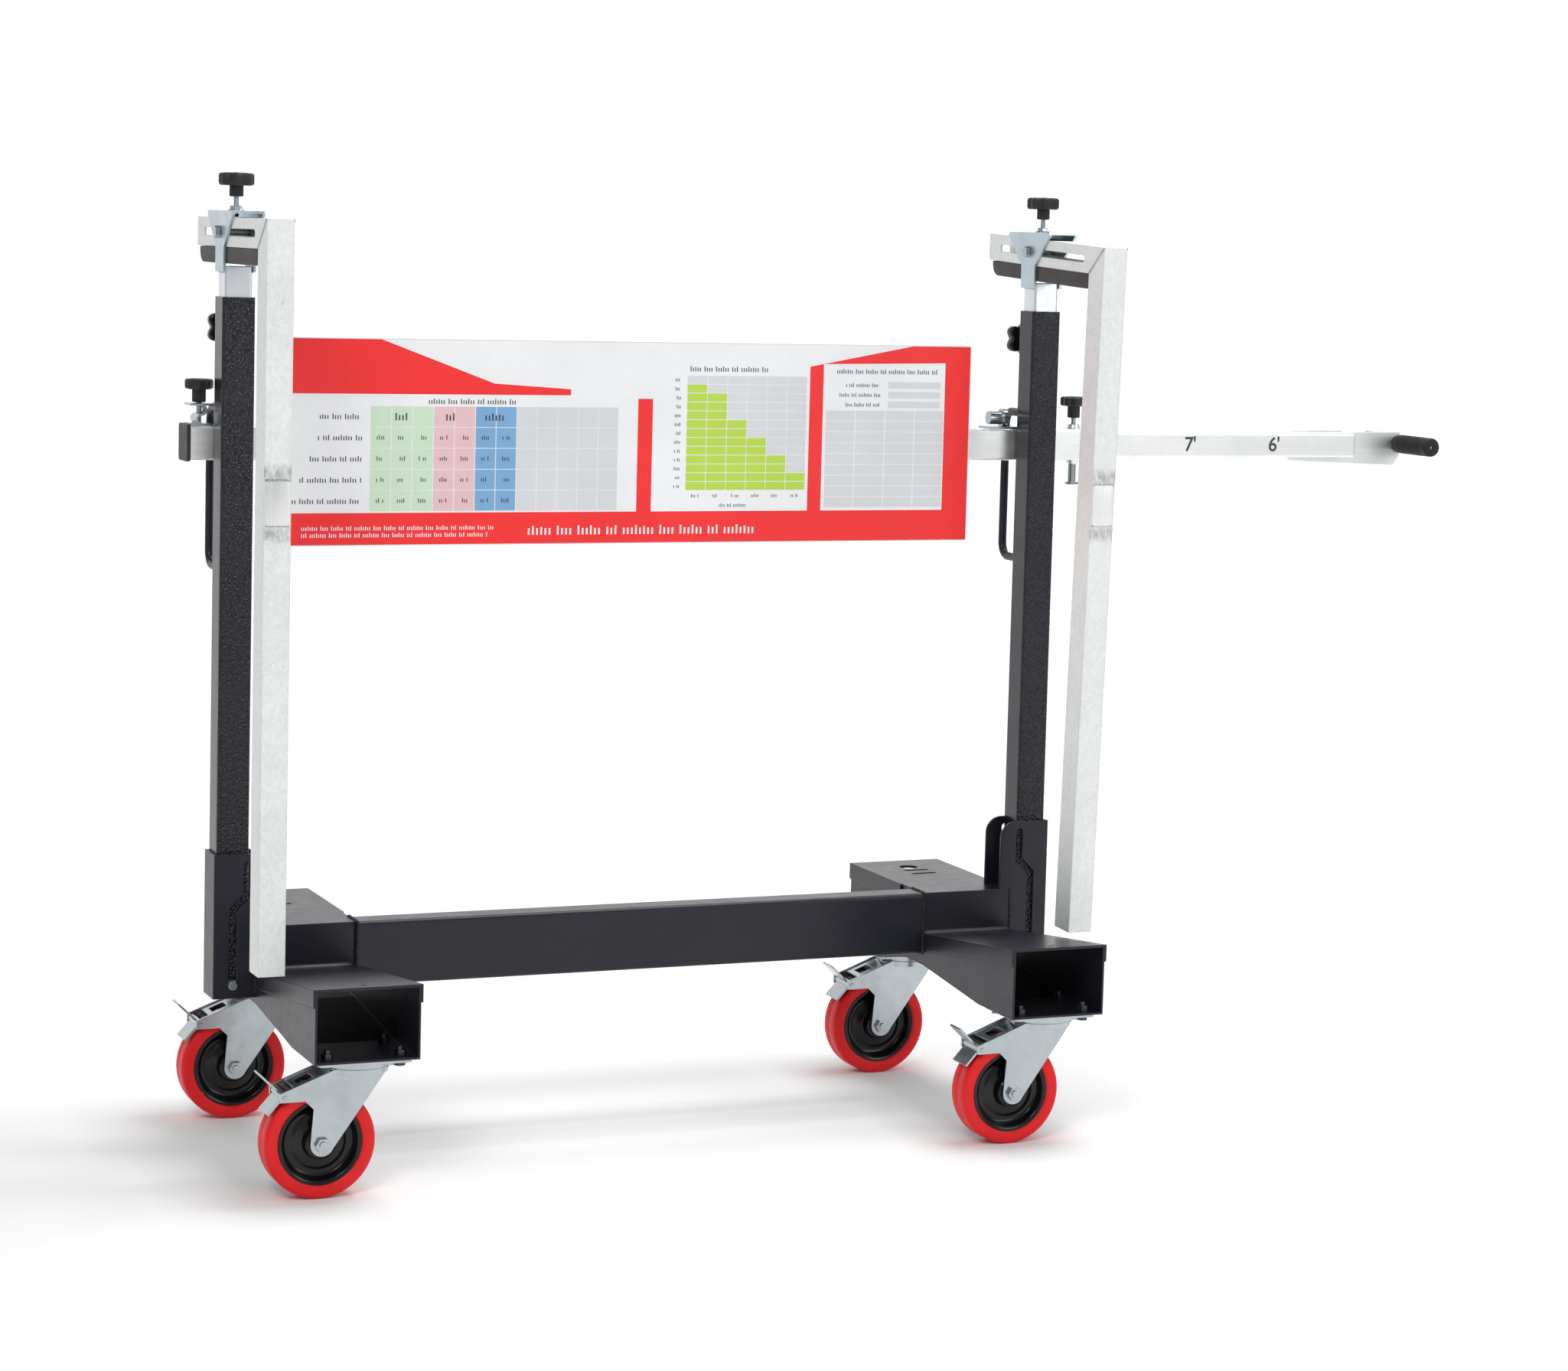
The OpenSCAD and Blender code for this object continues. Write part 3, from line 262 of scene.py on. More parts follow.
@dataclass(frozen=True)
class Paint(TwoTone):
    """Sprayed enamel on steel."""

    coat: Coat
    dimples: float = 290.0
    dimple_depth: float = 0.0022

    def dress(self, graph: Graph) -> None:
        """Builds the coat's colour drift, gloss and texture.

        Args:
            graph: Material to fill.
        """
        graph.shade("Base Color", graph.noise(7.0, 5.0, 0.6), (0.3, self.dark), (0.7, self.light))
        graph.shade("Roughness", graph.noise(38.0, 6.0, 0.65), (0.25, self.rough[0]), (0.8, self.rough[1]))
        graph.put("Specular IOR Level", self.coat.value)
        if self.coat is Coat.HAMMER:
            inputs = {"Scale": self.dimples, "Smoothness": 0.35, "Vector": graph.place}
            cells = graph.node("ShaderNodeTexVoronoi", inputs, feature="SMOOTH_F1")
            pits = graph.ramp(cells.outputs["Distance"], (0.0, 0.0), (0.7, 1.0))
            share = graph.node("ShaderNodeMath", {0: graph.normal_y()}, operation="ABSOLUTE").outputs[0]
            front_and_back = graph.band(share, 0.5, 0.8)
            graph.bump(graph.mix(1.0, pits, front_and_back, "MULTIPLY"), 1.0, self.dimple_depth)
        graph.bump(graph.noise(420.0, 3.0, 0.6), 0.1, 0.0003)
        if self.coat is Coat.SATIN:
            graph.bump(graph.noise(24.0, 2.0), 0.05, 0.001)


@dataclass(frozen=True)
class Plate(TwoTone):
    """Bright zinc plate with drawing marks."""

    grain: Grain

    def dress(self, graph: Graph) -> None:
        """Builds the plate's tone, gloss and drawing marks.

        Args:
            graph: Material to fill.
        """
        graph.put("Metallic", 1.0)
        marks = graph.stretched(self.grain.value)
        tone = graph.ramp(graph.noise(11.0, 6.0, 0.62), (0.3, self.dark), (0.68, self.light))
        streak = graph.ramp(graph.noise(260.0, 5.0, 0.6, marks), (0.35, 0.94), (0.7, 1.0))
        graph.join(graph.mix(1.0, tone, streak, "MULTIPLY"), "Base Color")
        haze = graph.noise(55.0, 5.0, 0.6, marks)
        graph.shade("Roughness", haze, (0.3, self.rough[0]), (0.75, self.rough[1]))
        graph.bump(graph.noise(900.0, 3.0, 0.6, marks), 0.05, 0.0001)
        graph.bump(graph.noise(18.0, 2.0), 0.1, 0.0012)


@dataclass(frozen=True)
class Spangle(TwoTone):
    """Hot-dip galvanised sheet with its crystal pattern."""

    burns: tuple[float, float]
    burn_reach: float = 0.015
    crystals: tuple[float, float] = (150.0, 420.0)

    def dress(self, graph: Graph) -> None:
        """Builds the crystals, their gloss, faint roll marks and the weld burns on the leg's front.

        Args:
            graph: Material to fill.
        """
        graph.put("Metallic", 0.25)
        bent = graph.stretched((1.0, 1.0, 0.55))
        large, small = (graph.node("ShaderNodeTexVoronoi", {"Scale": scale, "Vector": bent}).outputs["Color"]
                        for scale in self.crystals)
        level = graph.node("ShaderNodeRGBToBW", {"Color": graph.mix(0.68, large, small)}).outputs["Val"]
        tone = graph.ramp(level, (0.2, self.dark), (0.8, self.light))
        cloud = graph.ramp(graph.noise(9.0, 5.0, 0.6), (0.3, 0.93), (0.7, 1.0))
        tone = graph.mix(1.0, tone, cloud, "MULTIPLY")
        smear = graph.stretched((1.0, 1.0, 0.35))
        soot = graph.ramp(graph.noise(170.0, 5.0, 0.7, smear), (0.4, 0.42), (0.66, 1.0))
        front = graph.band(graph.normal_y(), -0.6, -0.9)
        upright = graph.node("ShaderNodeSeparateXYZ", {"Vector": graph.place}).outputs["Z"]
        for height in self.burns:
            across = graph.band(upright, height - self.burn_reach, height + self.burn_reach)
            soft = graph.ramp(across, (0.0, 0.0), (0.4, 0.8), (0.6, 0.8), (1.0, 0.0))
            scorched = graph.mix(1.0, tone, soot, "MULTIPLY")
            tone = graph.mix(graph.mix(1.0, soft, front, "MULTIPLY"), tone, scorched)
        graph.join(tone, "Base Color")
        graph.shade("Roughness", level, (0.15, self.rough[0]), (0.85, self.rough[1]))
        graph.bump(graph.noise(330.0, 3.0), 0.1, 0.0003)


@dataclass(frozen=True)
class Moulded(TwoTone):
    """Moulded plastic, rubber or polyurethane."""

    pores: float
    depth: float
    sheen: float = 0.0

    def dress(self, graph: Graph) -> None:
        """Builds the material's colour drift, gloss and moulded skin.

        Args:
            graph: Material to fill.
        """
        graph.shade("Base Color", graph.noise(16.0, 5.0, 0.6), (0.3, self.dark), (0.72, self.light))
        graph.shade("Roughness", graph.noise(70.0, 6.0, 0.68), (0.3, self.rough[0]), (0.78, self.rough[1]))
        graph.put("Specular IOR Level", 0.35)
        graph.put("Sheen Weight", self.sheen)
        graph.bump(graph.noise(self.pores, 3.0, 0.6), 0.3, self.depth)
        graph.bump(graph.noise(28.0, 2.0), 0.08, 0.0008)


@dataclass(frozen=True)
class Ink(Finish):
    """Printed film on the sign."""

    shade: Colour
    fade: float = 0.93

    def dress(self, graph: Graph) -> None:
        """Builds the print's slight unevenness and film gloss.

        Args:
            graph: Material to fill.
        """
        faded = tuple(self.fade * c for c in self.shade)
        graph.shade("Base Color", graph.noise(9.0, 4.0), (0.3, faded), (0.7, self.shade))
        graph.shade("Roughness", graph.noise(120.0, 4.0), (0.3, 0.34), (0.75, 0.46))
        graph.bump(graph.noise(500.0, 3.0), 0.05, 0.0002)


@dataclass(frozen=True)
class Sweep(Finish):
    """Pale studio floor."""

    shade: Colour
    fade: float = 0.985

    def dress(self, graph: Graph) -> None:
        """Builds the paper's faint unevenness.

        Args:
            graph: Material to fill.
        """
        dim = tuple(self.fade * c for c in self.shade)
        graph.shade("Base Color", graph.noise(1.5, 3.0), (0.3, dim), (0.7, self.shade))
        graph.put("Roughness", 0.9)
        graph.put("Specular IOR Level", 0.1)


HAMMER_BLACK = Paint("hammer_black", (0.008, 0.0083, 0.0135), (0.014, 0.0143, 0.021), (0.16, 0.26),
                     Coat.HAMMER, edge=0.0028)
SATIN_BLACK = Paint("satin_black", (0.01, 0.0103, 0.018), (0.014, 0.0144, 0.0235), (0.28, 0.38),
                    Coat.SATIN, edge=0.003)
WELD_BLACK = Paint("weld_black", (0.012, 0.012, 0.016), (0.02, 0.02, 0.026), (0.1, 0.2), Coat.SATIN)
ZINC = Plate("bright_zinc", (0.42, 0.465, 0.49), (0.51, 0.56, 0.585), (0.2, 0.3), Grain.EVEN, edge=0.001)
ZINC_TUBE = Plate("zinc_tube", (0.82, 0.85, 0.84), (0.92, 0.94, 0.93), (0.3, 0.44), Grain.ALONG_X,
                  edge=0.0025)
ZINC_MAST = Plate("zinc_mast", (0.74, 0.79, 0.84), (0.88, 0.91, 0.95), (0.28, 0.44), Grain.ALONG_Z,
                  edge=0.0015)
ZINC_HEAD = Plate("zinc_head", (0.5, 0.6, 0.67), (0.62, 0.7, 0.76), (0.26, 0.4), Grain.EVEN, edge=0.0012)
WELD_ZINC = Plate("weld_zinc", (0.3, 0.32, 0.33), (0.6, 0.62, 0.62), (0.28, 0.46), Grain.EVEN)
# Dark zinc with painted shade: the castor bolts get it whole, heads too, so their dark stands for the shade
# inside the foot channel; the brake leaf and its bolt get it too.
DARK_ZINC_AND_SHADE = Plate("dark_bolt", (0.05, 0.05, 0.055), (0.12, 0.12, 0.13), (0.3, 0.5), Grain.EVEN, edge=0.0006)
GROUND = Plate("ground_patch", (0.84, 0.86, 0.86), (0.94, 0.95, 0.94), (0.36, 0.5), Grain.ALONG_Z)
GALVANISED = {
    side: Spangle("galvanised_" + side, (0.8, 0.83, 0.82), (0.9, 0.925, 0.915), (0.5, 0.64), burns,
                  edge=0.003)
    for side, burns in (("left", (0.93, 1.016)), ("right", (0.92, 1.006)))
}
RED_TYRE = Moulded("red_tyre", (0.7, 0.004, 0.007), (0.78, 0.006, 0.01), (0.42, 0.56), 500.0, 0.0002)
GLOSS_NYLON = Moulded("gloss_nylon", (0.004, 0.004, 0.005), (0.007, 0.007, 0.008), (0.12, 0.26), 260.0,
                      0.0002)
MATT_NYLON = Moulded("matt_nylon", (0.018, 0.0175, 0.0185), (0.026, 0.0255, 0.0265), (0.42, 0.58), 1100.0,
                     0.0003, 0.02, edge=0.001)
PAD_RUBBER = Moulded("pad_rubber", (0.046, 0.042, 0.041), (0.066, 0.061, 0.059), (0.58, 0.76), 700.0,
                     0.0003, 0.05)
GRIP_RUBBER = Moulded("grip_rubber", (0.007, 0.007, 0.008), (0.013, 0.013, 0.014), (0.5, 0.68), 800.0,
                      0.0003, 0.03)
INKS = {tone: Ink("ink_" + tone.name.lower(), tone.value) for tone in Tone}
BOARD_BACK = Ink("board_back", (0.74, 0.75, 0.76))
FLOOR = Sweep("studio_floor", (0.93, 0.93, 0.93))


def joint_place(name: str) -> Vector:
    """Gives the rest position of a joint's axis in the part's frame."""
    return Vector(next(j["pos_m"] for j in frame["joints"] if j["name"] == name))


def arm_place(side: str) -> Matrix:
    """Gives the transform from a clamp arm's pin, tilted as the arm hangs."""
    return Matrix.Translation(joint_place(side + "_arm_tilt")) @ Matrix.Rotation(ARM_TILT[side], 4, "X")


def axis_place(origin: Vector, direction: Vector) -> Matrix:
    """Gives the transform that puts the local Z axis on a line through a point."""
    turn = UP.rotation_difference(direction.normalized()).to_matrix().to_4x4()
    return Matrix.Translation(origin) @ turn


def linked(name: str, data: bpy.types.ID) -> bpy.types.Object:
    """Puts a new object into the scene.

    Args:
        name: Name of the object.
        data: Its mesh, curve, light or camera.

    Returns:
        The object.
    """
    added = bpy.data.objects.new(name, data)
    bpy.context.scene.collection.objects.link(added)
    return added


def add_piece(name: str, shape: Shape, finishes: Iterable[Finish], body: str,
              replaces: Sequence[str] = (), smooth: bool = True) -> None:
    """Turns a built shape into a piece that rides on a body.

    Args:
        name: Piece name.
        shape: The mesh, in the part's frame; it is freed.
        finishes: Finishes for the faces' material numbers.
        body: Body that carries the piece.
        replaces: CAD nodes that the piece stands for.
        smooth: Whether faces are shaded smooth up to a sharp angle.
    """
    bmesh.ops.recalc_face_normals(shape, faces=shape.faces)
    mesh = bpy.data.meshes.new(name)
    shape.to_mesh(mesh)
    shape.free()
    for finish in finishes:
        mesh.materials.append(finish.material())
    piece = linked(name, mesh)
    if smooth:
        mesh.shade_smooth()
        mesh.set_sharp_from_angle(angle=SHARP_ANGLE)
    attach(piece, body)
    if replaces:
        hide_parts(*replaces)
    LOG.info("piece %s on %s, %d faces", name, body, len(mesh.polygons))


def ring(shape: Shape, place: Matrix, radius: Callable[[float], float], height: float, steps: int) -> Ring:
    """Adds a ring of points round the local Z axis.

    Args:
        shape: Mesh to add to.
        place: Transform of the ring.
        radius: Gives the radius at an angle.
        height: Height of the ring.
        steps: Number of points.

    Returns:
        The points.
    """
    points = []
    for k in range(steps):
        angle = 2 * math.pi * k / steps
        q = radius(angle)
        points.append(shape.verts.new(place @ Vector((q * math.cos(angle), q * math.sin(angle), height))))
    return points


def bridge(shape: Shape, rings: Sequence[Ring], closed: bool = False, caps: Iterable[int] = ()) -> None:
    """Joins rings of points with faces.

    Args:
        shape: Mesh that holds the points.
        rings: Rings of equal length, or of one point at a pole.
        closed: Whether the last ring joins the first.
        caps: Numbers of the end rings that get a face of their own, 0 or -1.
    """
    pairs = list(zip(rings, rings[1:])) + ([(rings[-1], rings[0])] if closed else [])
    for lower, upper in pairs:
        for k in range(max(len(lower), len(upper))):
            walk = ((lower, k), (lower, k + 1), (upper, k + 1), (upper, k))
            corners = list(dict.fromkeys(points[n % len(points)] for points, n in walk))
            if len(corners) > 2:
                shape.faces.new(corners)
    for number in caps:
        shape.faces.new(rings[0][::-1] if number == 0 else rings[number])


def lathe(profile: Sequence[Point2], place: Matrix, steps: int, into: Shape | None = None,
          closed: bool = False) -> Shape:
    """Turns a profile about the local Z axis.

    Args:
        profile: Radius and height of each point.
        place: Transform of the turned shape.
        steps: Number of steps round the axis.
        into: Mesh to add to, a new one by default.
        closed: Whether the profile's last point joins its first.

    Returns:
        The mesh.
    """
    shape = into or bmesh.new()
    rings = [ring(shape, place, lambda _, q=radius: q, height, 1 if radius < POLE_RADIUS else steps)
             for radius, height in profile]
    bridge(shape, rings, closed)
    return shape


def arc(centre: Point2, radius: float, start: float, end: float, count: int) -> list[Point2]:
    """Gives points on an arc from a start to an end angle in degrees, in so many steps."""
    angles = [math.radians(start + (end - start) * k / count) for k in range(count + 1)]
    return [(centre[0] + radius * math.cos(a), centre[1] + radius * math.sin(a)) for a in angles]


def inset(outline: Sequence[Point2], amount: float) -> list[Point2]:
    """Draws an outline in by an amount along its corner normals.

    Args:
        outline: Points in counter-clockwise order.
        amount: Distance to move each side inwards.

    Returns:
        The moved points.
    """
    moved = []
    for before, here, after in zip([outline[-1], *outline[:-1]], outline, [*outline[1:], outline[0]]):
        d1 = Vector((here[0] - before[0], here[1] - before[1])).normalized()
        d2 = Vector((after[0] - here[0], after[1] - here[1])).normalized()
        normal = Vector((-d1.y - d2.y, d1.x + d2.x)).normalized()
        reach = amount / max(MITRE_LIMIT, normal.dot(Vector((-d1.y, d1.x))))
        moved.append((here[0] + normal.x * reach, here[1] + normal.y * reach))
    return moved


def cushioned_prism(outline: Sequence[Point2], half: float, edge: float, place: Matrix) -> Shape:
    """Extrudes an outline with rounded edges at both ends.

    Args:
        outline: Points in counter-clockwise order, in the local X and Y.
        half: Half of the extruded length, along the local Z.
        edge: Radius of the rounded edges.
        place: Transform of the shape.

    Returns:
        The mesh.
    """
    shape = bmesh.new()
    steps = [(edge * (1 - math.sin(a)), half - edge + edge * math.cos(a)) for a in EDGE_ANGLES]
    levels = [(i, -h) for i, h in steps] + [(i, h) for i, h in reversed(steps)]
    rings = [[shape.verts.new(place @ Vector((x, y, height))) for x, y in inset(outline, amount)]
             for amount, height in levels]
    bridge(shape, rings, caps=(0, -1))
    return shape


def weld_bead(points: Sequence[Vector], radius: float, into: Shape, pitch: float = 0.0035) -> None:
    """Lays a rippled weld bead along a line.

    Args:
        points: Corner points of the seam.
        radius: Mean radius of the bead.
        into: Mesh to add to.
        pitch: Length of one ripple.
    """
    line: list[Vector] = []
    for start, end in zip(points, points[1:]):
        count = max(2, round((end - start).length / pitch * RIPPLE_STEPS))
        line += [start.lerp(end, k / count) for k in range(count)]
    line.append(points[-1])
    last = len(line) - 1
    rings = []
    for k, here in enumerate(line):
        ahead = (line[min(k + 1, last)] - line[max(k - 1, 0)]).normalized()
        side = ahead.cross(BEAD_SKEW).normalized()
        up = ahead.cross(side)
        ripple = RIPPLE * math.cos(2 * math.pi * k / RIPPLE_STEPS)
        swell = radius * (1.0 + ripple + WANDER * math.sin(0.9 * k))
        if k in (0, last):
            swell *= BEAD_TIP
        rings.append([into.verts.new(here + swell * (math.cos(a) * side + math.sin(a) * up))
                      for a in (2 * math.pi * s / BEAD_SIDES for s in range(BEAD_SIDES))])
    bridge(into, rings, caps=(0, -1))


@dataclass
class StarKnob:
    """Moulded star knob on a threaded screw."""

    node: str
    body: str
    joint: str
    axis: Vector
    lobes: int
    diameter: float
    height: float
    boss_h: float
    boss_d: float = 0.02
    screw_d: float = 0.008
    pitch: float = 0.00125
    finish: Finish = MATT_NYLON
    ribs: int = 24
    rib_cut: float = 0.025
    cut: float = 0.16
    place: Matrix = field(init=False)
    length: float = field(init=False)

    def build(self) -> None:
        """Builds the knob and its screw from the screw's tip, in place of the CAD node."""
        low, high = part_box(self.node)
        pivot = joint_place(self.joint)
        tip = pivot + self.axis * (low.dot(self.axis) - pivot.dot(self.axis))
        self.place = axis_place(tip, self.axis)
        self.length = (high - low).dot(self.axis)
        self.build_grip()
        self.build_screw()

    def rim(self, angle: float, radius: float) -> float:
        """Gives the grip's radius at an angle: lobed at the rim, round towards the middle."""
        lobed = min(1.0, max(0.0, (radius / (self.diameter / 2) - 0.62) / 0.2))
        return radius * (1 - lobed * self.cut * (1 - (0.5 + 0.5 * math.cos(self.lobes * angle)) ** 0.7))

    def ribbed(self, angle: float, radius: float) -> float:
        """Gives the boss's ribbed radius at an angle."""
        return radius * (1 - self.rib_cut + self.rib_cut * math.cos(self.ribs * angle))

    def build_grip(self) -> None:
        """Builds the lobed grip, its dished top and the ribbed boss."""
        shape = bmesh.new()
        length, bottom = self.length, self.length - self.height
        r, e = self.diameter / 2, self.height * 0.22
        levels: list[Point2] = [(0.5 * r, bottom + 0.06 * self.height)]
        for a in (0.0, 0.5, 1.0, math.pi / 2):
            levels.append((r - e + e * math.sin(a), bottom + e - e * math.cos(a)))
        for a in (0.0, 0.5, 1.0, 1.4):
            levels.append((r - e + e * math.cos(a), length - e - 0.001 + e * math.sin(a)))
        levels += [(0.62 * r, length - 0.0006), (0.5 * r, length - 0.0012), (0.2 * r, length - 0.0004),
                   (0.0, length)]
        steps = self.lobes * 16
        rings = [ring(shape, self.place, lambda a, q=radius: self.rim(a, q), height, steps if radius else 1)
                 for radius, height in levels]
        bridge(shape, rings, caps=(0,))
        foot, q = bottom - self.boss_h, self.boss_d / 2
        rings = [ring(shape, self.place, lambda a, q=radius: self.ribbed(a, q), height, self.ribs * 4)
                 for radius, height in ((q * 0.8, foot), (q, foot + 0.001), (q, bottom + 0.002))]
        bridge(shape, rings, caps=(0,))
        add_piece(self.node + "_grip", shape, [self.finish], self.body, [self.node])

    def build_screw(self) -> None:
        """Builds the threaded screw below the boss."""
        end = self.length - self.height - self.boss_h + 0.001
        r = self.screw_d / 2
        root = 0.86 * r
        profile: list[Point2] = [(0.0, 0.0), (0.7 * r, 0.0)]
        for k in range(int((end - 0.001) / self.pitch)):
            z = 0.001 + k * self.pitch
            profile += [(root, z), (r, z + 0.4 * self.pitch), (r, z + 0.6 * self.pitch)]
        profile += [(root, end), (0.0, end)]
        screw = lathe(profile, self.place, SMALL_STEPS)
        add_piece(self.node + "_screw", screw, [ZINC], self.body)


@dataclass
class CastorWheel:
    """Polyurethane tyre on a dished nylon centre."""

    corner: str
    radius: float = 0.08
    half_w: float = 0.023
    rim_r: float = 0.061
    rim_z: float = 0.0206
    shoulder: float = 0.007
    hub_r: float = 0.023
    hub_half: float = 0.026
    bore_r: float = 0.00605
    tyre_steps: int = 120
    dish_steps: int = 96
    dish: tuple[Point2, ...] = (
        (0.035, 0.0098), (0.0375, 0.009), (0.0395, 0.0074), (0.044, 0.0068), (0.048, 0.0072),
        (0.0505, 0.0088), (0.0522, 0.0118), (0.0534, 0.0165), (0.0545, 0.0192), (0.056, 0.0203))

    def build(self) -> None:
        """Builds the tyre and the centre in place of their CAD nodes."""
        place = axis_place(joint_place(self.corner + "_roll"), BACK)
        body = self.corner + "_wheel"
        tyre = lathe(self.tyre_profile(), place, self.tyre_steps, closed=True)
        add_piece(self.corner + "_tyre_skin", tyre, [RED_TYRE], body,
                  [self.corner + "_tyre"])
        centre = lathe(self.dish_profile(), place, self.dish_steps, closed=True)
        add_piece(self.corner + "_wheel_dish", centre, [GLOSS_NYLON], body,
                  [self.corner + "_wheel_center"])

    def tyre_profile(self) -> list[Point2]:
        """Gives the tyre's closed section, with its shoulders and the mould's parting line.

        Returns:
            Radius and height of each point.
        """
        s, w, r = self.shoulder, self.half_w, self.radius
        half = [(self.rim_r, w - 0.0025), (self.rim_r + 0.002, w - 0.0006), (self.rim_r + 0.005, w)]
        half += arc((r - s, w - s), s, 90, 8, 7)
        half += [(r, w - s - 0.004), (r, 0.0004), (r - 0.0002, 0.0)]
        return half + [(q, -z) for q, z in reversed(half[:-1])]

    def dish_profile(self) -> list[Point2]:
        """Gives the centre's closed section: bore, hub, ringed dish and rim.

        Returns:
            Radius and height of each point.
        """
        r, h = self.hub_r, self.hub_half
        half = [(self.bore_r, h), (r - 0.003, h), (r - 0.001, h - 0.002), (r, 0.0145), (r + 0.0015, 0.0115),
                (r + 0.004, 0.0106), *self.dish, (self.rim_r - 0.0006, self.rim_z)]
        return half + [(q, -z) for q, z in reversed(half)]


@dataclass
class BrakeLeaf:
    """Spring leaf with its bolt, seen through the window of a castor's brake arm."""

    corner: str
    inner_r: float = 0.0835
    leaf_t: float = 0.0016
    front: float = 96.0
    back: float = 121.0
    bolt_at: float = 104.5
    bolt_r: float = 0.0046
    bolt_h: float = 0.003
    pin_out: float = 0.0048

    def build(self) -> None:
        """Builds the leaf between the fork's sides, bent about the wheel, and its bolt."""
        hub = joint_place(self.corner + "_roll")
        low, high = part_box(self.corner + "_pedal")
        half = (high.y - low.y) / 2 - self.pin_out
        middle = (high.y + low.y) / 2
        turn = Matrix(((1, 0, 0, hub.x), (0, 0, -1, middle), (0, 1, 0, hub.z), (0, 0, 0, 1)))
        outer_r = self.inner_r + self.leaf_t
        outline = arc((0.0, 0.0), outer_r, self.front, self.back, 14)
        outline += arc((0.0, 0.0), self.inner_r, self.back, self.front, 14)
        shape = cushioned_prism(outline, half, self.leaf_t * 0.4, turn)
        angle = math.radians(self.bolt_at)
        outward = Vector((math.cos(angle), 0.0, math.sin(angle)))
        seat = axis_place(Vector((hub.x, middle, hub.z)) + outward * (outer_r - 0.0002), outward)
        r, top = self.bolt_r, self.bolt_h + 0.0004
        washer = [(0.0, 0.0), (r * 1.35, 0.0), (r * 1.35, 0.0009), (r * 0.9, 0.001), (0.0, 0.001)]
        head = [(0.0, 0.0008), (r, 0.0008), (r, self.bolt_h), (r * 0.82, top), (0.0, top)]
        lathe(washer, seat, SMALL_STEPS, shape)
        lathe(head, seat, 6, shape)
        add_piece(self.corner + "_brake_leaf", shape, [DARK_ZINC_AND_SHADE], self.corner + "_castor")


@dataclass
class RubberPad:
    """Rubber strip under a clamp arm."""

    side: str
    front: float = -0.2025
    rear: float = 0.139
    depth: float = 0.024
    drop: float = 0.021
    half_w: float = 0.019
    corner: float = 0.0192
    edge: float = 0.0022
    spans: int = 9

    def build(self) -> None:
        """Builds the strip in place of the CAD pad, hung from the arm's pin."""
        along = arm_place(self.side) @ Matrix(((0, 0, 1, 0), (1, 0, 0, 0), (0, 1, 0, 0), (0, 0, 0, 1)))
        top, low, c = -self.drop, -self.drop - self.depth, self.corner
        shares = [k / self.spans for k in range(1, self.spans)]
        outline: list[Point2] = [(self.front + 0.002, low + 0.0005)]
        outline += [(self.front + (self.rear - c - self.front) * share, low) for share in shares]
        outline += arc((self.rear - c, low + c), c, -90, 0, 10)
        outline += [(self.rear, top - 0.001)]
        outline += [(self.rear + (self.front - self.rear) * share, top) for share in shares]
        outline += [(self.front, top - 0.001)]
        shape = cushioned_prism(list(dict.fromkeys(outline)), self.half_w, self.edge, along)
        add_piece(self.side + "_pad_strip", shape, [PAD_RUBBER], self.side + "_clamp",
                  [self.side + "_pad"])


@dataclass
class ClampArm:
    """Welds and splice plate of one clamp arm and its leg."""

    side: str
    half_w: float = 0.0195
    leg_front: float = -0.251
    leg_rear: float = -0.203
    arm_half: float = 0.021
    splice: tuple[float, float] = (-0.404, -0.34)
    splice_beads: tuple[float, float] = (0.9, 1.3)
    plate_half: float = 0.0178
    plate_t: float = 0.0012
    plate_corner: float = 0.006
    dent: Point2 = (0.002, -0.093)
    bead: float = 0.0016

    def build(self) -> None:
        """Builds the welds and the splice plate."""
        self.build_welds()
        self.build_plate()

    def build_welds(self) -> None:
        """Builds the mitre welds and the beads above and below the splice."""
        place = arm_place(self.side)
        welds = bmesh.new()
        for x in (-self.half_w, self.half_w):
            mitre = ((x, self.leg_rear, -self.arm_half), (x, self.leg_front, self.arm_half))
            weld_bead([place @ Vector(point) for point in mitre], self.bead, welds)
        for z, size in zip(self.splice, self.splice_beads):
            seam = [place @ Vector((x, self.leg_front, z)) for x in (-self.plate_half, 0.0, self.plate_half)]
            weld_bead(seam, self.bead * size, welds)
        add_piece(self.side + "_arm_welds", welds, [WELD_ZINC], self.side + "_clamp")

    def build_plate(self) -> None:
        """Builds the splice plate on the leg and the punched dent above it."""
        place = arm_place(self.side)
        front = self.leg_front - self.plate_t / 2
        upright = place @ Matrix(((1, 0, 0, 0), (0, 0, 1, front), (0, 1, 0, 0), (0, 0, 0, 1)))
        c = self.plate_corner
        x, low, high = self.plate_half - c, self.splice[0] + c, self.splice[1] - c
        turns = ((-x, low, 180), (x, low, 270), (x, high, 0), (-x, high, 90))
        outline = [point for u, v, start in turns for point in arc((u, v), c, start, start + 90, 4)]
        plate = cushioned_prism(outline, self.plate_t / 2, self.plate_t * 0.45, upright)
        u, v = self.dent
        dent = axis_place(place @ Vector((u, self.leg_front + 0.0002, v)), -BACK)
        punched = [(0.0, 0.0), (0.0042, 0.0), (0.0036, 0.0007), (0.0022, 0.0004), (0.0, 0.0001)]
        lathe(punched, dent, SMALL_STEPS, plate)
        add_piece(self.side + "_splice_plate", plate, [GROUND], self.side + "_clamp")


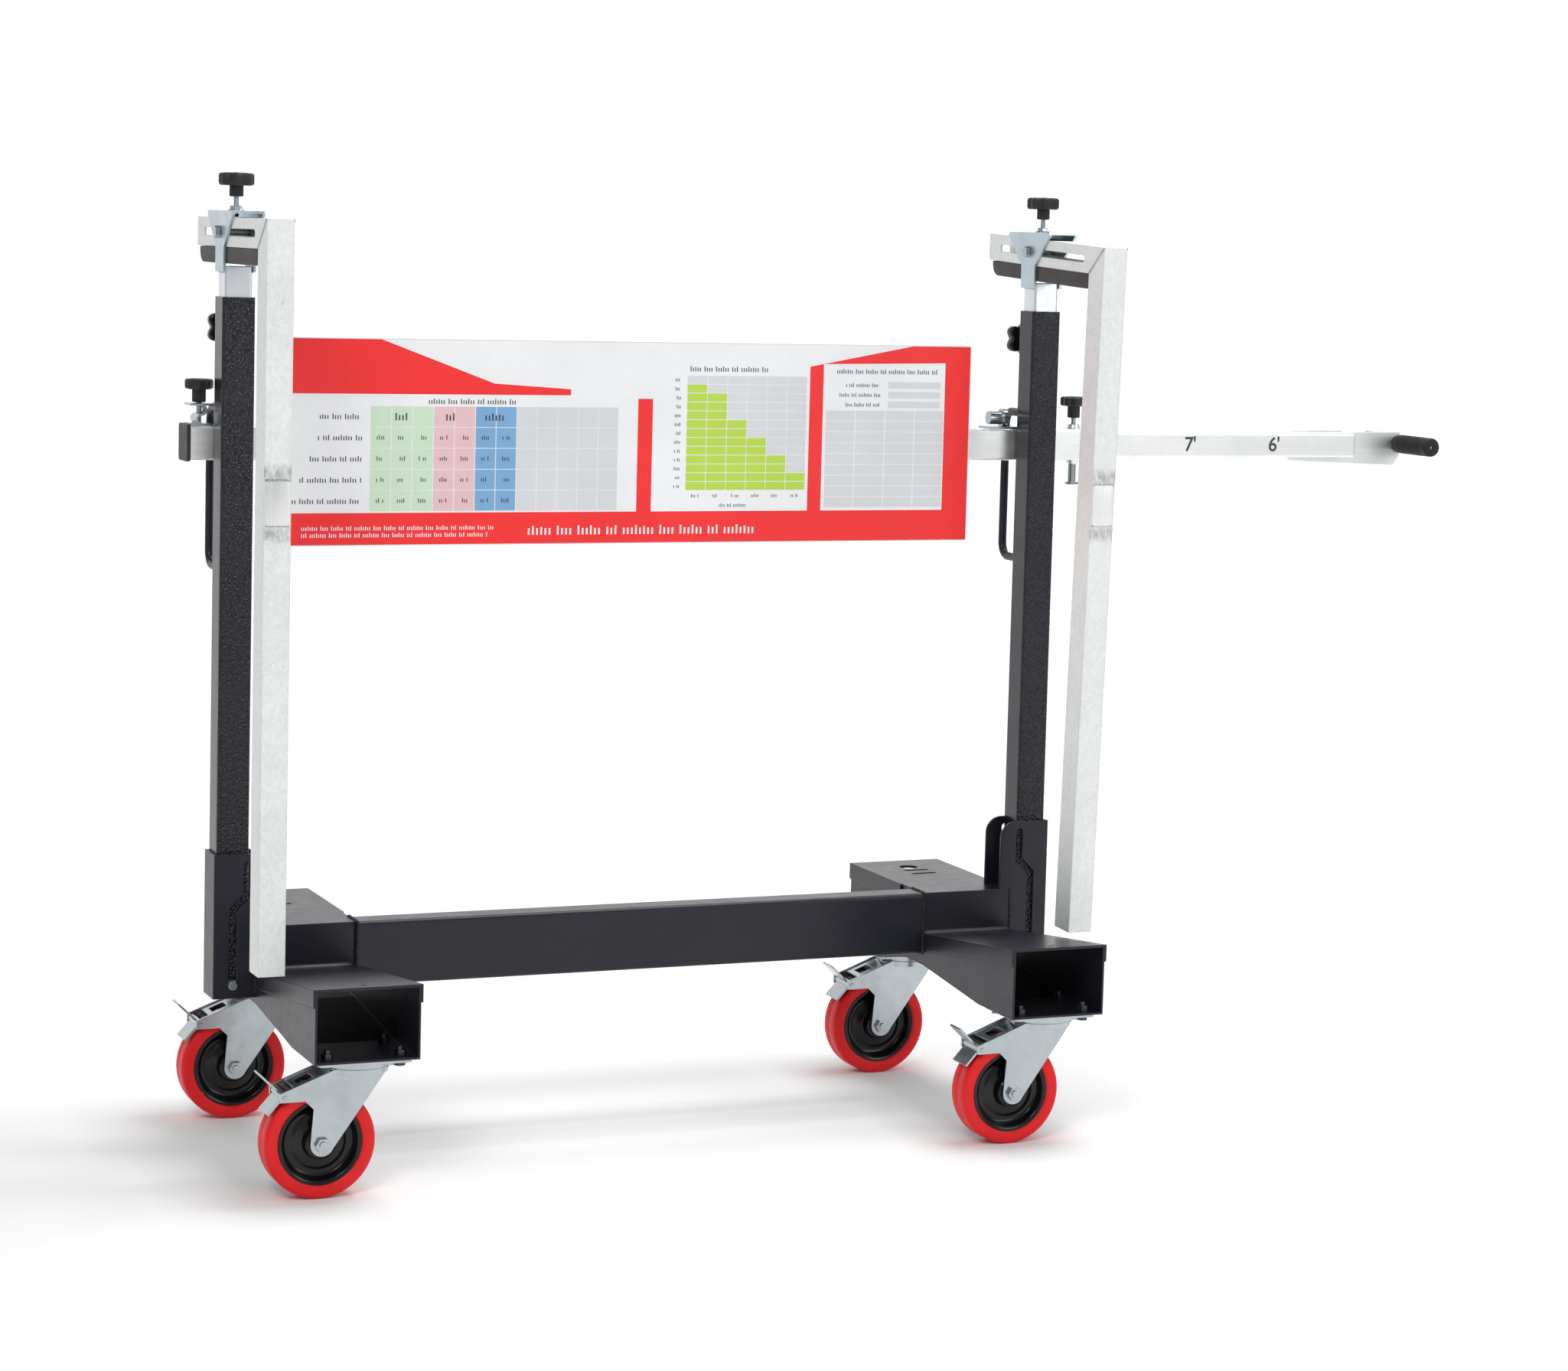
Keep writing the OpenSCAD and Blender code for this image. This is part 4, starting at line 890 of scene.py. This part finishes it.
@dataclass
class BaseWelds:
    """Weld beads on the base, brackets and clamp heads."""

    bead: float = 0.0026
    fine: float = 0.0016
    head_half: float = 0.019
    nut_r: float = 0.0095
    nut_drop: float = 0.0068
    nut_steps: int = 18

    def build(self) -> None:
        """Builds the beads where plates and tubes meet."""
        self.build_base()
        self.build_heads()

    def build_base(self) -> None:
        """Builds the beads round the beam's ends and along the brackets."""
        beads = bmesh.new()
        low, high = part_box("main_beam")
        for x in (low.x, high.x):
            seam = ((low.y, low.z), (low.y, high.z), (high.y, high.z), (high.y, low.z), (low.y, low.z))
            weld_bead([Vector((x, y, z)) for y, z in seam], self.bead, beads)
        for side in SIDES:
            plate_low, plate_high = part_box(side + "_deck_plate")
            bracket_low, bracket_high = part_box(side + "_post_bracket")
            x = plate_low.x + 0.003 if side == "left" else plate_high.x - 0.003
            for y in (bracket_low.y, bracket_high.y):
                seam = [Vector((x, y, bracket_low.z + 0.004)), Vector((x, y, plate_high.z))]
                weld_bead(seam, self.bead, beads)
        add_piece("base_welds", beads, [WELD_BLACK], "base")

    def build_heads(self) -> None:
        """Builds the beads between each mast and its clamp head, and round the head's nut."""
        for side in SIDES:
            beads = bmesh.new()
            mast_low, mast_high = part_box(side + "_mast")
            head_low, head_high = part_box(side + "_clamp_head")
            mid = (mast_low.y + mast_high.y) / 2
            for x in (mast_low.x, mast_high.x):
                seam = [Vector((x, mid + y, head_low.z)) for y in (-self.head_half, self.head_half)]
                weld_bead(seam, self.fine, beads)
            top = joint_place(side + "_clamp_knob_turn")
            nut = arc((top.x, top.y), self.nut_r, 0, 360, self.nut_steps)
            weld_bead([Vector((x, y, head_high.z - self.nut_drop)) for x, y in nut], self.fine, beads)
            add_piece(side + "_head_welds", beads, [WELD_ZINC], side + "_extension")


@dataclass
class SignPrint:
    """Plain printed layout on the sign board, in shares of its width and height."""

    margin: float = 0.0015
    lift: float = 0.0002
    tick_pitch: float = 0.13
    tick_w: float = 0.42
    ticks: tuple[float, ...] = (
        1.0, 0.72, 0.72, 1.0, 0.72, 0.72, 0.0, 0.86, 0.72, 1.0, 0.0, 0.72, 0.72,
        0.72, 1.0, 0.72, 0.86, 0.72, 0.72, 0.0, 1.0, 0.72, 0.72, 0.72, 0.0)
    films: list[tuple[Sequence[Point2], Tone, Film]] = field(default_factory=list)

    def area(self, points: Sequence[Point2], tone: Tone, film: Film = Film.PRINT) -> None:
        """Adds a printed area with convex corners."""
        self.films.append((points, tone, film))

    def block(self, x0: float, z0: float, x1: float, z1: float, tone: Tone, film: Film = Film.PRINT) -> None:
        """Adds a printed block between two corners."""
        self.area(((x0, z0), (x1, z0), (x1, z1), (x0, z1)), tone, film)

    def words(self, x0: float, x1: float, z: float, high: float, tone: Tone = Tone.DARK,
              film: Film = Film.PRINT) -> None:
        """Adds a line of upright ticks that stands for text.

        Args:
            x0: Left end.
            x1: Right end.
            z: Lower edge.
            high: Height of the tallest ticks.
            tone: Ink.
            film: Layer.
        """
        pitch = high * self.tick_pitch
        first = int((x0 + z) * 97)
        for turn in range(int((x1 - x0) / pitch)):
            share = self.ticks[(first + turn) % len(self.ticks)]
            if share > 0:
                x = x0 + turn * pitch
                self.block(x, z, x + self.tick_w * pitch, z + high * share, tone, film)

    def lay_frame(self) -> None:
        """Lays out the white ground, the red frame and its lines of ticks."""
        self.block(0, 0, 1, 1, Tone.WHITE, Film.GROUND)
        self.area([(0.0, 0.735), (0.305, 0.735), (0.305, 0.79), (0.15, 1.0), (0.0, 1.0)], Tone.RED)
        self.area([(0.305, 0.735), (0.412, 0.735), (0.412, 0.765), (0.305, 0.79)], Tone.RED)
        self.area([(0.758, 0.155), (0.778, 0.155), (0.778, 0.904), (0.758, 0.89)], Tone.RED)
        self.area([(0.778, 0.904), (0.962, 0.915), (0.962, 1.0), (0.912, 1.0)], Tone.RED)
        for x0, z0, x1, z1 in ((0, 0, 1, 0.155), (0.508, 0.155, 0.529, 0.72), (0.962, 0.155, 1, 1),
                               (0, 0.155, 0.03, 0.735)):
            self.block(x0, z0, x1, z1, Tone.RED)
        for x0, x1, z, high in ((0.045, 0.31, 0.07, 0.022), (0.045, 0.30, 0.036, 0.022),
                                (0.355, 0.69, 0.042, 0.045)):
            self.words(x0, x1, z, high, Tone.WHITE, Film.OVERPRINT)

    def lay_table(self) -> None:
        """Lays out the table with its tinted columns."""
        tints = [Tone.MINT] * 3 + [Tone.PINK] * 2 + [Tone.BLUE] * 2 + [Tone.GREY] * 5
        left, width, low, step, rows = 0.136, 0.0287, 0.162, 0.103, 5
        for column, tone in enumerate(tints):
            x = left + column * width
            for row in range(rows):
                z = low + row * step
                self.block(x + 0.0006, z + 0.002, x + width - 0.0006, z + 0.101, tone)
                if tone is not Tone.GREY and row < rows - 1:
                    self.words(x + 0.009, x + width - 0.007, z + 0.042, 0.022, film=Film.OVERPRINT)
        for row, reach in enumerate((0.096, 0.086, 0.076, 0.062, 0.06)):
            self.words(0.128 - reach, 0.128, 0.2 + row * step, 0.026)
        for x, reach in ((0.165, 0.028), (0.239, 0.022), (0.293, 0.03)):
            self.words(x, x + reach, 0.607, 0.036, film=Film.OVERPRINT)
        self.words(0.215, 0.34, 0.688, 0.026)

    def lay_chart(self) -> None:
        """Lays out the stepped chart with its grid."""
        left, width, low, step, rows = 0.578, 0.0293, 0.2605, 0.0446, 13
        for column, height in enumerate((12, 11, 8, 6, 4, 2)):
            x = left + column * width
            for row in range(rows):
                z = low + row * step
                tone = Tone.LIME if row < height else Tone.GREY
                self.block(x + 0.0005, z + 0.002, x + width - 0.0005, z + step - 0.002, tone)
            self.words(x + 0.009, x + 0.021, low - 0.036, 0.018)
        for row in range(rows):
            self.words(left - 0.017, left - 0.006, low + row * step + 0.012, 0.018)
        self.words(0.582, 0.7, 0.86, 0.026)
        self.words(0.628, 0.67, 0.176, 0.018)

    def lay_form(self) -> None:
        """Lays out the blank form."""
        self.words(0.795, 0.952, 0.856, 0.024)
        for row in range(3):
            drop = 0.05 * row
            self.words(0.812 - 0.012 * (row % 2), 0.866, 0.788 - drop, 0.02)
            self.block(0.876, 0.782 - drop, 0.955, 0.815 - drop, Tone.GREY)
        for column in range(4):
            for row in range(9):
                x, z = 0.782 + column * 0.0448, 0.17 + row * 0.0555
                self.block(x + 0.0008, z + 0.0025, x + 0.044, z + 0.053, Tone.GREY)

    def build(self) -> None:
        """Builds all printed areas as thin films on the board's front."""
        for lay in (self.lay_frame, self.lay_table, self.lay_chart, self.lay_form):
            lay()
        low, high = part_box("sign_board")
        left, foot = low.x + self.margin, low.z + self.margin
        width, height = high.x - low.x - 2 * self.margin, high.z - low.z - 2 * self.margin
        tones = list(Tone)
        shape = bmesh.new()
        for points, tone, film in self.films:
            y = low.y - self.lift * film.value
            corners = [shape.verts.new((left + x * width, y, foot + z * height)) for x, z in points]
            shape.faces.new(corners).material_index = tones.index(tone)
        shape.normal_update()
        bmesh.ops.solidify(shape, geom=list(shape.faces), thickness=self.lift * 0.5)
        inks = [INKS[tone] for tone in tones]
        add_piece("sign_print", shape, inks, "left_upright", smooth=False)


@dataclass
class PullHandle:
    """Ribbed grips, length marks and welds of the pull handle."""

    radius: float = 0.0155
    groove: float = 0.0013
    ribs: int = 12
    gap: float = 0.003
    round_r: float = 0.004
    marks: tuple[tuple[str, float], ...] = (("7'", 0.60825), ("6'", 0.76425))
    mark_h: float = 0.023
    cap_share: float = 0.7
    mark_weight: float = 0.0004
    mark_t: float = 0.00008
    mark_lift: float = 0.0002
    steps: int = 48
    side_bead: float = 0.0016
    end_bead: float = 0.0018

    def build(self) -> None:
        """Builds both grips, the length marks and the plate's welds."""
        low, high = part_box("handle_grips")
        centre = (low + high) / 2
        length = (high.y - low.y) / 2 - self.gap
        shape = bmesh.new()
        for direction in (-BACK, BACK):
            place = axis_place(centre + direction * self.gap, direction)
            lathe(self.profile(length), place, self.steps, shape)
        add_piece("handle_grip_sleeves", shape, [GRIP_RUBBER], "pull_handle", ["handle_grips"])
        self.build_marks()
        self.build_welds()

    def profile(self, length: float) -> list[Point2]:
        """Gives the grip's ribbed section, with a rounded end and its vent.

        Args:
            length: Length of the grip.

        Returns:
            Radius and height of each point.
        """
        r, e, root = self.radius, self.round_r, self.radius - self.groove
        points: list[Point2] = [(0.0, 0.0), (r - 0.002, 0.0), (r - 0.0004, 0.0012)]
        start, span = 0.012, length - 0.03
        for k in range(self.ribs):
            z, p = start + span * k / self.ribs, span / self.ribs
            points += [(r, z), (r, z + 0.5 * p), (root, z + 0.62 * p), (root, z + 0.88 * p)]
        points += [(r, start + span)]
        points += [(r - e + e * math.cos(a), length - e + e * math.sin(a)) for a in (0.0, 0.5, 1.0, 1.5)]
        points += [(0.0034, length), (0.0028, length - 0.0005), (0.0026, length - 0.006),
                   (0.0, length - 0.006)]
        return points

    def build_marks(self) -> None:
        """Builds the length marks on the tube's front face."""
        low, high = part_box("handle_tube")
        for number, (text, x) in enumerate(self.marks):
            name = f"length_mark_{number}"
            curve = bpy.data.curves.new(name, "FONT")
            curve.body = text
            curve.size = self.mark_h / self.cap_share
            curve.space_character = 0.95
            curve.offset = self.mark_weight
            curve.extrude = self.mark_t
            curve.align_x = curve.align_y = "CENTER"
            mark = linked(name, curve)
            place = Matrix.Translation((x, low.y - self.mark_lift, (low.z + high.z) / 2))
            mark.matrix_world = place @ Matrix.Rotation(math.pi / 2, 4, "X")
            bpy.context.view_layer.update()
            mesh = bpy.data.meshes.new_from_object(mark.evaluated_get(bpy.context.evaluated_depsgraph_get()))
            mesh.transform(mark.matrix_world)
            bpy.data.objects.remove(mark)
            shape = bmesh.new()
            shape.from_mesh(mesh)
            add_piece(name, shape, [INKS[Tone.DARK]], "pull_handle", smooth=False)

    def build_welds(self) -> None:
        """Builds the welds between the tube and its plate."""
        low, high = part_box("handle_tube")
        plate_low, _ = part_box("handle_bracket")
        beads = bmesh.new()
        for z in (low.z, high.z):
            seam = [Vector((plate_low.x + 0.004, high.y, z)), Vector((high.x - 0.002, high.y, z))]
            weld_bead(seam, self.side_bead, beads)
        weld_bead([Vector((high.x, high.y, low.z)), Vector((high.x, high.y, high.z))], self.end_bead, beads)
        add_piece("handle_welds", beads, [WELD_ZINC], "pull_handle")


@dataclass(frozen=True)
class SoftBox:
    """One soft box of the studio."""

    name: str
    place: Point3
    aim: Point3
    size: float
    power: float

    def build(self) -> None:
        """Adds the light, turned to its aim."""
        data = bpy.data.lights.new(self.name, "AREA")
        data.size = self.size
        data.energy = self.power
        light = linked(self.name, data)
        light.location = self.place
        light.rotation_euler = (Vector(self.aim) - Vector(self.place)).to_track_quat("-Z", "Y").to_euler()


@dataclass
class Studio:
    """Floor, light and camera."""

    place: Point3 = (-2.30492, -5.2215, 1.37681)
    yaw: float = 0.40762
    pitch: float = -0.0962
    roll: float = -0.02721
    focal_px: float = 4848.0
    centre_px: Point2 = (1090.08, 764.6)
    image_px: Point2 = (2049.0, 1792.0)
    sensor: float = 36.0
    far: float = 100.0
    world: float = 0.42
    floor_half: float = 16.0
    floor_front: float = -14.0
    floor_back: float = 6.0
    floor_bend: float = 3.0
    floor_top: float = 9.0
    floor_drop: float = 0.0003
    boxes: tuple[SoftBox, ...] = (
        SoftBox("key_box", (-3.4, -4.2, 4.6), (0.0, 0.0, 0.6), 1.8, 105.0),
        SoftBox("fill_box", (4.4, -3.6, 3.4), (0.3, 0.0, 0.7), 1.6, 40.0),
        SoftBox("front_box", (3.2, -6.4, 2.1), (0.0, 0.0, 0.9), 1.9, 36.0),
        SoftBox("top_box", (1.2, 0.1, 5.2), (0.1, 0.1, 0.5), 2.2, 165.0),
        SoftBox("back_box", (5.4, 4.8, 6.6), (5.8, 9.0, 2.8), 6.0, 310.0),
        SoftBox("back_left_box", (-4.4, 4.8, 6.6), (-4.8, 9.0, 2.4), 6.0, 150.0))

    def build(self) -> None:
        """Builds the floor, the lights and the camera."""
        self.build_floor()
        self.build_world()
        for box in self.boxes:
            box.build()
        self.build_camera()

    def build_floor(self) -> None:
        """Builds the floor, curved up far behind the cart."""
        shape = bmesh.new()
        bend, back = self.floor_bend, self.floor_back
        rows = [(self.floor_front, 0.0), (back, 0.0)]
        angles = (0.25, 0.5, 0.75, 1.0, 1.25, 1.5)
        rows += [(back + bend * math.sin(a), bend - bend * math.cos(a)) for a in angles]
        rows += [(back + bend, self.floor_top)]
        lines = [[shape.verts.new((x, y, z - self.floor_drop)) for x in (-self.floor_half, self.floor_half)]
                 for y, z in rows]
        for lower, upper in zip(lines, lines[1:]):
            shape.faces.new((lower[0], lower[1], upper[1], upper[0]))
        mesh = bpy.data.meshes.new("studio_floor")
        shape.to_mesh(mesh)
        shape.free()
        mesh.materials.append(FLOOR.material())
        mesh.shade_smooth()
        floor = linked("studio_floor", mesh)

    def build_world(self) -> None:
        """Builds the surrounding white."""
        world = bpy.data.worlds.new("studio_white")
        world.use_nodes = True
        background = world.node_tree.nodes["Background"]
        background.inputs["Color"].default_value = (1.0, 1.0, 1.0, 1.0)
        background.inputs["Strength"].default_value = self.world
        bpy.context.scene.world = world
        bpy.context.scene.view_settings.view_transform = "Standard"

    def build_camera(self) -> None:
        """Builds the camera at the photograph's viewpoint."""
        wide, high = self.image_px
        data = bpy.data.cameras.new("photo_camera")
        data.sensor_fit = "HORIZONTAL"
        data.sensor_width = self.sensor
        data.lens = self.focal_px / wide * self.sensor
        data.shift_x = (wide / 2 - self.centre_px[0]) / wide
        data.shift_y = (self.centre_px[1] - high / 2) / wide
        data.clip_end = self.far
        camera = linked("photo_camera", data)
        level = Matrix.Translation(self.place) @ Matrix.Rotation(-self.yaw, 4, "Z")
        tilted = level @ Matrix.Rotation(math.pi / 2 + self.pitch, 4, "X")
        camera.matrix_world = tilted @ Matrix.Rotation(-self.roll, 4, "Z")
        bpy.context.scene.camera = camera


@dataclass
class NodeFinishes:
    """Finishes of the CAD nodes that stay in view."""

    whole: tuple[tuple[Finish, tuple[str, ...]], ...] = (
        (SATIN_BLACK, ("main_beam",)),
        (ZINC_TUBE, ("cross_tube", "handle_tube", "handle_bracket")),
        (ZINC, ("castor_plates", "left_tube_clamp", "right_tube_latch", "handle_lock_pin")),
        # painted shade: the castor bolts are darkened for the shade inside the foot channel
        (DARK_ZINC_AND_SHADE, ("castor_bolts",)),
        (MATT_NYLON, ("tube_end_cap",)),
        (BOARD_BACK, ("sign_board",)))
    paired: tuple[tuple[Finish, tuple[str, ...]], ...] = (
        (SATIN_BLACK, ("deck_plate", "foot_channel", "post_bracket", "grab_handle")),
        (HAMMER_BLACK, ("post",)),
        (ZINC_MAST, ("mast",)),
        (ZINC_HEAD, ("clamp_head",)),
        (ZINC, ("pivot_bolt", "arm_pin")))
    castor: tuple[str, ...] = ("fork", "axle", "pedal")

    def apply(self) -> None:
        """Gives each node its finish."""
        chosen = {name: finish for finish, names in self.whole for name in names}
        for side in SIDES:
            chosen[side + "_clamp_arm"] = GALVANISED[side]
            chosen |= {f"{side}_{name}": finish for finish, names in self.paired for name in names}
        for corner in CORNERS:
            chosen |= {f"{corner}_{name}": ZINC for name in self.castor}
        for name, finish in chosen.items():
            slots = frame["nodes"][name].data.materials
            slots.clear()
            slots.append(finish.material())


def main() -> None:
    """Builds the studio and every piece."""
    logging.basicConfig(level=logging.INFO, format="%(name)s: %(message)s")
    Studio().build()
    NodeFinishes().apply()
    for corner in CORNERS:
        CastorWheel(corner).build()
        BrakeLeaf(corner).build()
    for side in SIDES:
        clamp, mast = side + "_clamp", side + "_mast"
        StarKnob(clamp + "_knob", clamp + "_screw", clamp + "_knob_turn", UP, lobes=7, diameter=0.052,
                 height=0.019, boss_h=0.016).build()
        StarKnob(mast + "_knob", mast + "_screw", mast + "_knob_turn", BACK, lobes=5, diameter=0.056,
                 height=0.019, boss_h=0.008, finish=GLOSS_NYLON, cut=0.27).build()
        RubberPad(side).build()
        ClampArm(side).build()
    for node, screw, diameter in (("left_tube_knob", "tube", 0.042), ("handle_lock_knob", "lock", 0.044)):
        StarKnob(node, screw + "_screw", screw + "_knob_turn", UP, lobes=7, diameter=diameter,
                 height=0.0157, boss_h=0.019).build()
    for group in (BaseWelds(), SignPrint(), PullHandle()):
        group.build()


if __name__ == "__main__":
    main()
